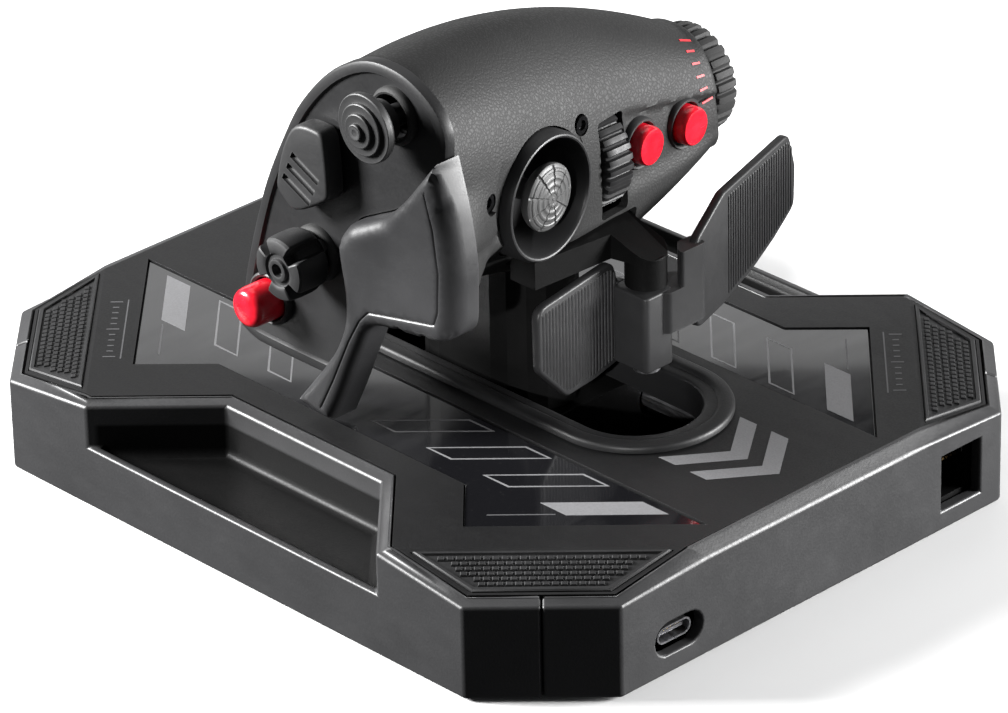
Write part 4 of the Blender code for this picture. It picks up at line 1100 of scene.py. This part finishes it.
def make_comm_hat():
    """The stepped round hat at the top, waisted under its rim."""
    pivot = (FACE_X - TILT_DEPTH, *COMM)
    top, radius, steps, drop = 15.4, 7.2, 4, 0.8
    base = top - steps * drop
    profile = [(0, top - 0.25), (0.9, top - 0.05), (1.3, top)]
    for step in range(steps):
        outer = radius * (step + 1) / steps
        height = top - drop * step
        profile += [(outer - 1.1, height - 0.06), (outer - 0.3, height), (outer - 0.12, height - 0.12),
                    (outer - 0.05, height - drop)]
    profile += [(7.15, base - 0.5), (6.9, base - 1.0), (5.6, base - 1.9), (4.6, base - 2.4), (4.4, 7.5),
                (2.4, 7.4), *HAT_STEM]
    made("comm_hat_stepped", turned(profile, pivot, (1, 0, 0), 96), CONTROL, "comm_hat",
         ("comm_hat",), 30)


def make_castle_hat():
    """The four-way hat: a low crown with a notch on each diagonal."""
    pivot = (FACE_X - TILT_DEPTH, *CASTLE)
    top = 15.6

    def notched(angle, radius, height):
        if height < 8.0 or radius < 2.6:
            return radius, height
        notch = smoothstep(0.50, 0.34, abs(math.cos(2 * angle))) * smoothstep(3.6, 4.2, radius)
        return radius * (1 - 0.22 * notch), height - 2.4 * notch

    crown = ((0, 1.4), (1.1, 1.4), (1.3, 1.2), (1.45, 0.1), (1.9, 0), (2.3, 0.1), (2.5, 0.7), (3.3, 0.75),
             (3.55, 0.3), (3.9, 0.15), (4.3, 0.12), (5.6, 0.2), (6.2, 0.4), (6.55, 0.9), (6.65, 2.2),
             (6.7, 3.6))                                    # (radius, depth under the top)
    profile = [(radius, top - drop) for radius, drop in crown]
    profile += [(6.7, 9.4), (6.5, 8.1), (6.1, 7.4), (2.2, 7.4), *HAT_STEM]
    made("castle_hat_lobed", turned(profile, pivot, (1, 0, 0), 128, notched), CONTROL, "castle_hat",
         ("castle_hat",), 30)


def make_hat_rims():
    """A low rubber rim round each hat's opening in the face."""
    rim = [(4.5, -0.6), (6.0, -0.6), (6.0, 0.1), (5.7, 0.7), (5.2, 1.0), (4.8, 0.9), (4.5, 0.5)]
    for name, (y, z) in (("comm_rim", COMM), ("castle_rim", CASTLE)):
        made(name, turned(rim, (FACE_X, y, z), (1, 0, 0)), BLACK_RUBBER, "throttle")


def make_slider():
    """The dogfight slider: a rounded plate with three slanting grip grooves, on a stem in its slot."""
    low, high, shift_y = FACE_X + 0.4, FACE_X + 4.6, 1.6
    bm = outline_mesh([(y - shift_y, z) for y, z in flowing(slider_outline(), 4)], low, high, YZ)
    round_edges(bm, 0.8, 4, lambda edge: min(v.co.x for v in edge.verts) > high - 0.4)
    slider = made("dogfight_slider_ribbed", bm, CONTROL, "dogfight_slider",
                  ("dogfight_slider",))
    carve(slider, [outline_mesh(slider_slot(1.7, 2.0), FACE_X - 4.5, FACE_X + 1.5, YZ)], "UNION")
    across = Vector((-SLIDE_WAY.y, SLIDE_WAY.x)).normalized()
    tools = []
    for along in (-4.6, -1.6, 1.4):
        middle = Vector(SLIDER) + SLIDE_WAY * along - across * 0.5 - Vector((shift_y, 0))
        start, end = [(high - 0.1, *(middle + across * reach)) for reach in (-4.4, 4.0)]
        tools.append(rod_mesh(0.75, start, end, 24))
    carve(slider, tools)


def make_uncage():
    """The red push button at the face's lower corner, in a low collar."""
    centre, axis = (FACE_X, *UNCAGE), (1, 0, 0)
    profile = [(0, 7.4), (1.8, 7.38), (3.0, 7.2), (3.7, 6.8), (4.1, 6.1), (4.25, 5.2), (4.25, -2.6),
               (0, -2.6)]
    made("uncage_cap", turned(profile, centre, axis), RED, "uncage_button",
         ("uncage_button",))
    collar = [(5.7, 0.0), (5.6, 0.7), (5.2, 0.95), (4.75, 0.7), (4.65, 0.0), (4.65, -0.8), (5.7, -0.8)]
    made("uncage_collar", turned(collar, centre, axis), CONTROL, "throttle")


# ---------------------------------------------------------------- front controls

def make_stick_ring():
    """The ring round the small stick's well, with the well's wall and floor."""
    profile = [(12.3, 1.5), (12.6, 1.6), (12.9, 1.5), (13.05, 1.2), (13.4, 0.2), (13.4, -11.5),
               (5.4, -11.5), (5.4, -9.8), (11.2, -9.8), (11.5, -1.6), (12.0, 0.9), (12.15, 1.3)]
    made("stick_ring", turned(profile, STICK_CENTRE, front_normal(), 128), FACE, "throttle",
         ("stick_bezel",))


def make_stick():
    """The small stick; its domed cap carries a web of fine grooves."""
    normal = front_normal()
    pivot = Vector(STICK_CENTRE) - normal * 12.6
    cap_r, cap_steps = 6.6, 33

    def web(angle, radius, height):
        if height < 12.9 or radius > cap_r + 0.1:
            return radius, height
        spoke = abs((angle / math.radians(40)) % 1.0 - 0.5) * 2
        line = smoothstep(0.86, 0.97, spoke) * smoothstep(0.7, 1.6, radius)
        ring = smoothstep(0.6, 0.95, abs(math.cos(math.pi * radius / 1.45)))
        return radius, height - 0.32 * line - 0.16 * (1 - ring)

    profile = [(0, 14.7)]
    for step in range(1, cap_steps + 1):
        share = step / cap_steps
        profile.append((cap_r * share, 14.75 - 0.75 * share**3))
    profile += [(6.9, 13.6), (7.0, 13.0), (6.8, 12.2), (6.3, 11.5), (3.4, 10.2), (2.2, 8.4), (2.2, -1.2),
                (1.2, -2.0), (0, -2.0)]
    made("mini_stick_webbed", turned(profile, pivot, normal, 216, web), STICK, "mini_stick",
         ("mini_stick",), 24)


def make_wheel():
    """The serrated wheel: teeth with rounded gaps, crowned across its width."""
    teeth, steps_each = 32, 8

    def toothed(angle, radius, height):
        if radius < 9.0:
            return radius, height
        wave = 0.5 + 0.5 * math.cos(teeth * angle)
        return radius - 0.95 * smoothstep(0.45, 0.05, wave), height

    half = [(1.7, 2.9), (8.0, 2.9), (9.2, 3.5), (10.4, 3.5), (10.95, 3.2), (WHEEL_R, 2.6), (WHEEL_R, 0.9)]
    profile = half + [(r, -h) for r, h in reversed(half)]
    bm = turned(profile, WHEEL_CENTRE, (1, 0, 0), teeth * steps_each, toothed)
    made("range_wheel_toothed", bm, PADDLE, "range_wheel", ("range_wheel",))


def make_red_buttons():
    """Two red caps with a low raised rim, each in a collar."""
    normal = front_normal()
    crown = ((0.0, 2.95), (0.55, 3.0), (0.78, 3.1), (0.9, 3.0), (0.97, 2.6), (1.0, 1.9), (1.0, -4.0),
             (0.0, -4.0))                                   # (share of the radius, height)
    profile = [(BUTTON_R * share, height) for share, height in crown]
    collar = [(5.5, -1.2), (5.4, 0.2), (5.1, 0.6), (4.7, 0.55), (BUTTON_BORE, 0.1), (BUTTON_BORE, -2.4),
              (5.5, -2.4)]
    for name, place in RED_BUTTONS.items():
        button, face = f"red_button_{name}", on_front(*place)
        made(f"red_cap_{name}", turned(profile, face, normal), RED, button, (button,))
        made(f"button_collar_{name}", turned(collar, face, normal), CONTROL, "throttle")


def make_knob():
    """The end knob: a fluted rim, a dished end with fine rings, and a pointer line."""
    x, y, z = KNOB_CENTRE
    flutes, steps_each, top = 28, 8, KNOB_LENGTH

    def fluted(angle, radius, height):
        if radius < KNOB_R - 1.7:
            return radius, height
        wave = (angle / (2 * math.pi) * flutes) % 1.0
        return radius - 0.7 * smoothstep(0.55, 0.68, wave) * smoothstep(1.0, 0.87, wave), height

    profile = [(0, top - 1.0), (2.6, top - 1.0), (2.8, top - 1.25), (5.6, top - 1.25), (5.8, top - 1.0),
               (8.0, top - 1.0), (8.2, top - 0.4), (8.6, top - 0.1), (KNOB_R - 1.4, top),
               (KNOB_R - 0.5, top - 0.4), (KNOB_R - 0.1, top - 1.1), (KNOB_R, top - 1.9), (KNOB_R, 1.4),
               (KNOB_R - 0.2, 0.5), (KNOB_R - 0.7, 0.05), (2.4, 0.0), (2.4, 4.4), (0, 4.5)]
    bm = turned(profile, KNOB_CENTRE, (-1, 0, 0), flutes * steps_each, fluted)
    made("end_knob_fluted", bm, BLACK_RUBBER, "antenna_knob", ("antenna_knob",))
    face = x - top + 1.0
    pointer = box_mesh((face - 0.12, y - 0.35, z + 3.0), (face + 0.02, y + 0.35, z + 7.8))
    made("knob_pointer", pointer, INK, "antenna_knob")


# ---------------------------------------------------------------- paddle

LEFT_WING = [(-2.6, 29.2), (0.6, 28.0), (8.0, 27.1), (17.4, 27.1), (26.2, 36.2), (26.4, 50.0),
             (2.0, 51.0), (0.2, 45.6), (-2.6, 45.4)]
RIGHT_WING = [(-1.0, 34.0), (11.0, 34.6), (24.6, 37.0), (33.0, 39.4), (42.0, 43.0), (42.4, 52.0),
              (39.6, 60.4), (11.0, 59.6), (-1.0, 54.0)]
RIB_PITCH = 1.05


def span_at(points, s):
    """Lowest and highest height of an outline at one distance along it, or None beyond its ends."""
    hits = []
    for (s0, z0), (s1, z1) in zip(points, points[1:] + points[:1]):
        if (s0 - s) * (s1 - s) < 0:
            hits.append(z0 + (z1 - z0) * (s - s0) / (s1 - s0))
    return (min(hits), max(hits)) if len(hits) > 1 else None


def rib_mesh(s, level, out, bottom, top):
    """One upright rib on a plate's side at this level, which fades out at both ends."""
    half, tall, buried = RIB_PITCH * 0.34, 0.3, -0.1
    rings = []
    for z, grow in ((bottom, 0.4), (bottom + 0.4, 1.0), (top - 0.4, 1.0), (top, 0.4)):
        section = [(-half, buried), (-half * 0.7, 0.6 * tall * grow), (0.0, tall * grow),
                   (half * 0.7, 0.6 * tall * grow), (half, buried)]
        rings.append([Vector((s + a, -level + out * b, z)) for a, b in section])
    return loft(rings)


def wing_mesh(points, root, heading, thickness, ribs):
    """A finger plate with rounded corners and, between two distances, fine upright ribs on both sides."""
    outline = ccw(rounded(points, 3.0))
    skin, edge = 0.3, 1.3               # the ribs' height, and the plain plate above and below them
    low, high = sorted((0.0, thickness))
    bm = round_edges(outline_mesh(outline, low + skin, high - skin, XZ), 0.55, 3)
    for number in range(int((ribs[1] - ribs[0]) / RIB_PITCH)):
        s = ribs[0] + RIB_PITCH * (number + 0.5)
        span = span_at(outline, s)
        if span:
            for level, out in ((low + skin, 1), (high - skin, -1)):
                join(bm, rib_mesh(s, level, out, span[0] + edge, span[1] - edge))
    place = Matrix.Translation((*root, 0)) @ Matrix.Rotation(heading, 4, "Z")
    bmesh.ops.transform(bm, matrix=place, verts=bm.verts)
    return bm


def make_paddle():
    """The rocker: a web and a stepped hub on the pin, and a ribbed plate on each side."""
    px, py = HINGE
    web = [(-4.6, 27.0), (-4.6, 36.6), (-12.6, 36.6), (-12.6, 26.6)]
    low_hub = [(-8.6, 35.0), (-10.2, 37.8), (-20.6, 37.8), (-20.6, 33.6), (-15.0, 29.6), (-11.0, 29.6)]
    high_hub = [(-14.4, 35.8), (-13.6, 37.8), (-20.6, 37.8), (-20.6, 33.6), (-16.6, 33.6)]
    bm = round_edges(outline_mesh(rounded(web, 1.3), 29.0, 45.8), 0.5, 3)
    body = made("paddle_ribbed", bm, PADDLE, "paddle_rocker", ("paddle_rocker",))
    carve(body, [outline_mesh(rounded(low_hub, 1.5), 36.6, 45.7)], "UNION")
    carve(body, [outline_mesh(rounded(high_hub, 1.0), 37.0, 53.5)], "UNION")
    carve(body, [rod_mesh(1.75, (px, py, 20), (px, py, 60))])
    wings = wing_mesh(LEFT_WING, (-7.2, 27.0), math.radians(8.0), thickness=2.6, ribs=(-0.9, 25.6))
    join(wings, wing_mesh(RIGHT_WING, (-19.4, 37.2), math.radians(196.6), thickness=-2.6, ribs=(12.4, 41.6)))
    made("paddle_wings", wings, PADDLE, "paddle_rocker")


# ---------------------------------------------------------------- stage, light and camera

def hang(lamp, place, aim):
    """Put a lamp in the scene, pointing at a place."""
    holder = bpy.data.objects.new(lamp.name, lamp)
    holder.location = place
    holder.rotation_mode = "QUATERNION"
    holder.rotation_quaternion = (Vector(aim) - Vector(place)).to_track_quat("-Z", "Y")
    bpy.context.scene.collection.objects.link(holder)


def area_light(name, place, aim, size, power):
    lamp = bpy.data.lights.new(name, "AREA")
    lamp.shape = "RECTANGLE"
    lamp.size, lamp.size_y = size
    lamp.energy = power
    hang(lamp, place, aim)


def narrow_light(name, place, aim, degrees, power):
    """A narrow soft-edged beam."""
    lamp = bpy.data.lights.new(name, "SPOT")
    lamp.energy = power
    lamp.spot_size = math.radians(degrees)
    lamp.spot_blend = 1.0
    lamp.shadow_soft_size = 0.012
    hang(lamp, place, aim)


def make_floor():
    """A pale paper floor, which doesn't light the object or show in it."""
    bm = bmesh.new()
    bmesh.ops.create_grid(bm, x_segments=1, y_segments=1, size=3000)
    bmesh.ops.translate(bm, vec=(0, 0, -0.05), verts=bm.verts)
    paper = Finish("paper")
    tone = paper.mix(paper.noise(120.0, 2.0), (0.80, 0.80, 0.80), (0.84, 0.84, 0.84))
    floor = made("floor", bm, paper.set(base_color=tone, roughness=0.9))
    floor.visible_diffuse = False
    floor.visible_glossy = False


def make_light():
    """A dim pale sky, four soft boxes, and a narrow beam into the shadow round the rocker. In metres."""
    world = bpy.data.worlds.new("Studio")
    world.use_nodes = True
    background = world.node_tree.nodes["Background"]
    background.inputs["Color"].default_value = (0.95, 0.97, 1.0, 1)
    background.inputs["Strength"].default_value = 0.06
    bpy.context.scene.world = world
    middle = (0, 0, 0.05)
    area_light("left_box", (0.74, -0.84, 0.52), middle, (0.4, 0.4), 64)
    area_light("right_box", (-0.82, 0.80, 0.24), middle, (0.4, 0.4), 46)
    area_light("top_box", (-0.5, -0.5, 1.3), middle, (1.0, 1.0), 3)
    area_light("back_strip", (-0.345, -0.36, 0.185), (0, 0, 0.03), (0.9, 0.2), 0.6)
    narrow_light("snoot", (0.86, 0.60, 0.45), (0.006, 0.030, 0.036), 3.6, 90)


def make_camera():
    """A long lens off the corner between the thumb side and the sockets' wall. Angles in degrees."""
    azimuth, elevation, roll = math.radians(136.445), math.radians(27.895), math.radians(-1.246)
    place = Vector((794.284, 835.812, 632.034)) * MM
    back = Vector((math.sin(azimuth) * math.cos(elevation), -math.cos(azimuth) * math.cos(elevation),
                   math.sin(elevation)))
    level = Vector((math.cos(azimuth), math.sin(azimuth), 0))
    rise = back.cross(level)
    right = level * math.cos(roll) + rise * math.sin(roll)
    up = rise * math.cos(roll) - level * math.sin(roll)
    lens = bpy.data.cameras.new("Camera")
    lens.sensor_width = 36.0
    lens.lens = 229.818
    camera = bpy.data.objects.new("Camera", lens)
    camera.matrix_world = Matrix.Translation(place) @ Matrix((right, up, back)).transposed().to_4x4()
    bpy.context.scene.collection.objects.link(camera)
    bpy.context.scene.camera = camera


dress_nodes()
make_bezel()
for pad_name, signs in {"rear_right": (1, 1), "rear_left": (-1, 1), "front_right": (1, -1),
                        "front_left": (-1, -1)}.items():
    make_corner_pad(f"corner_pad_{pad_name}", *signs)
for inlay_side, inlay_name in ((1, "right"), (-1, "left")):
    make_inlay_print(inlay_side, inlay_name)
make_chevrons()
make_scale_marks()
make_socket_details()
make_barrel()
make_gauge_ticks()
make_face()
make_saddle()
make_comm_hat()
make_castle_hat()
make_hat_rims()
make_slider()
make_uncage()
make_stick_ring()
make_stick()
make_wheel()
make_red_buttons()
make_knob()
make_paddle()
make_floor()
make_light()
make_camera()
bpy.context.scene.view_settings.view_transform = "Standard"
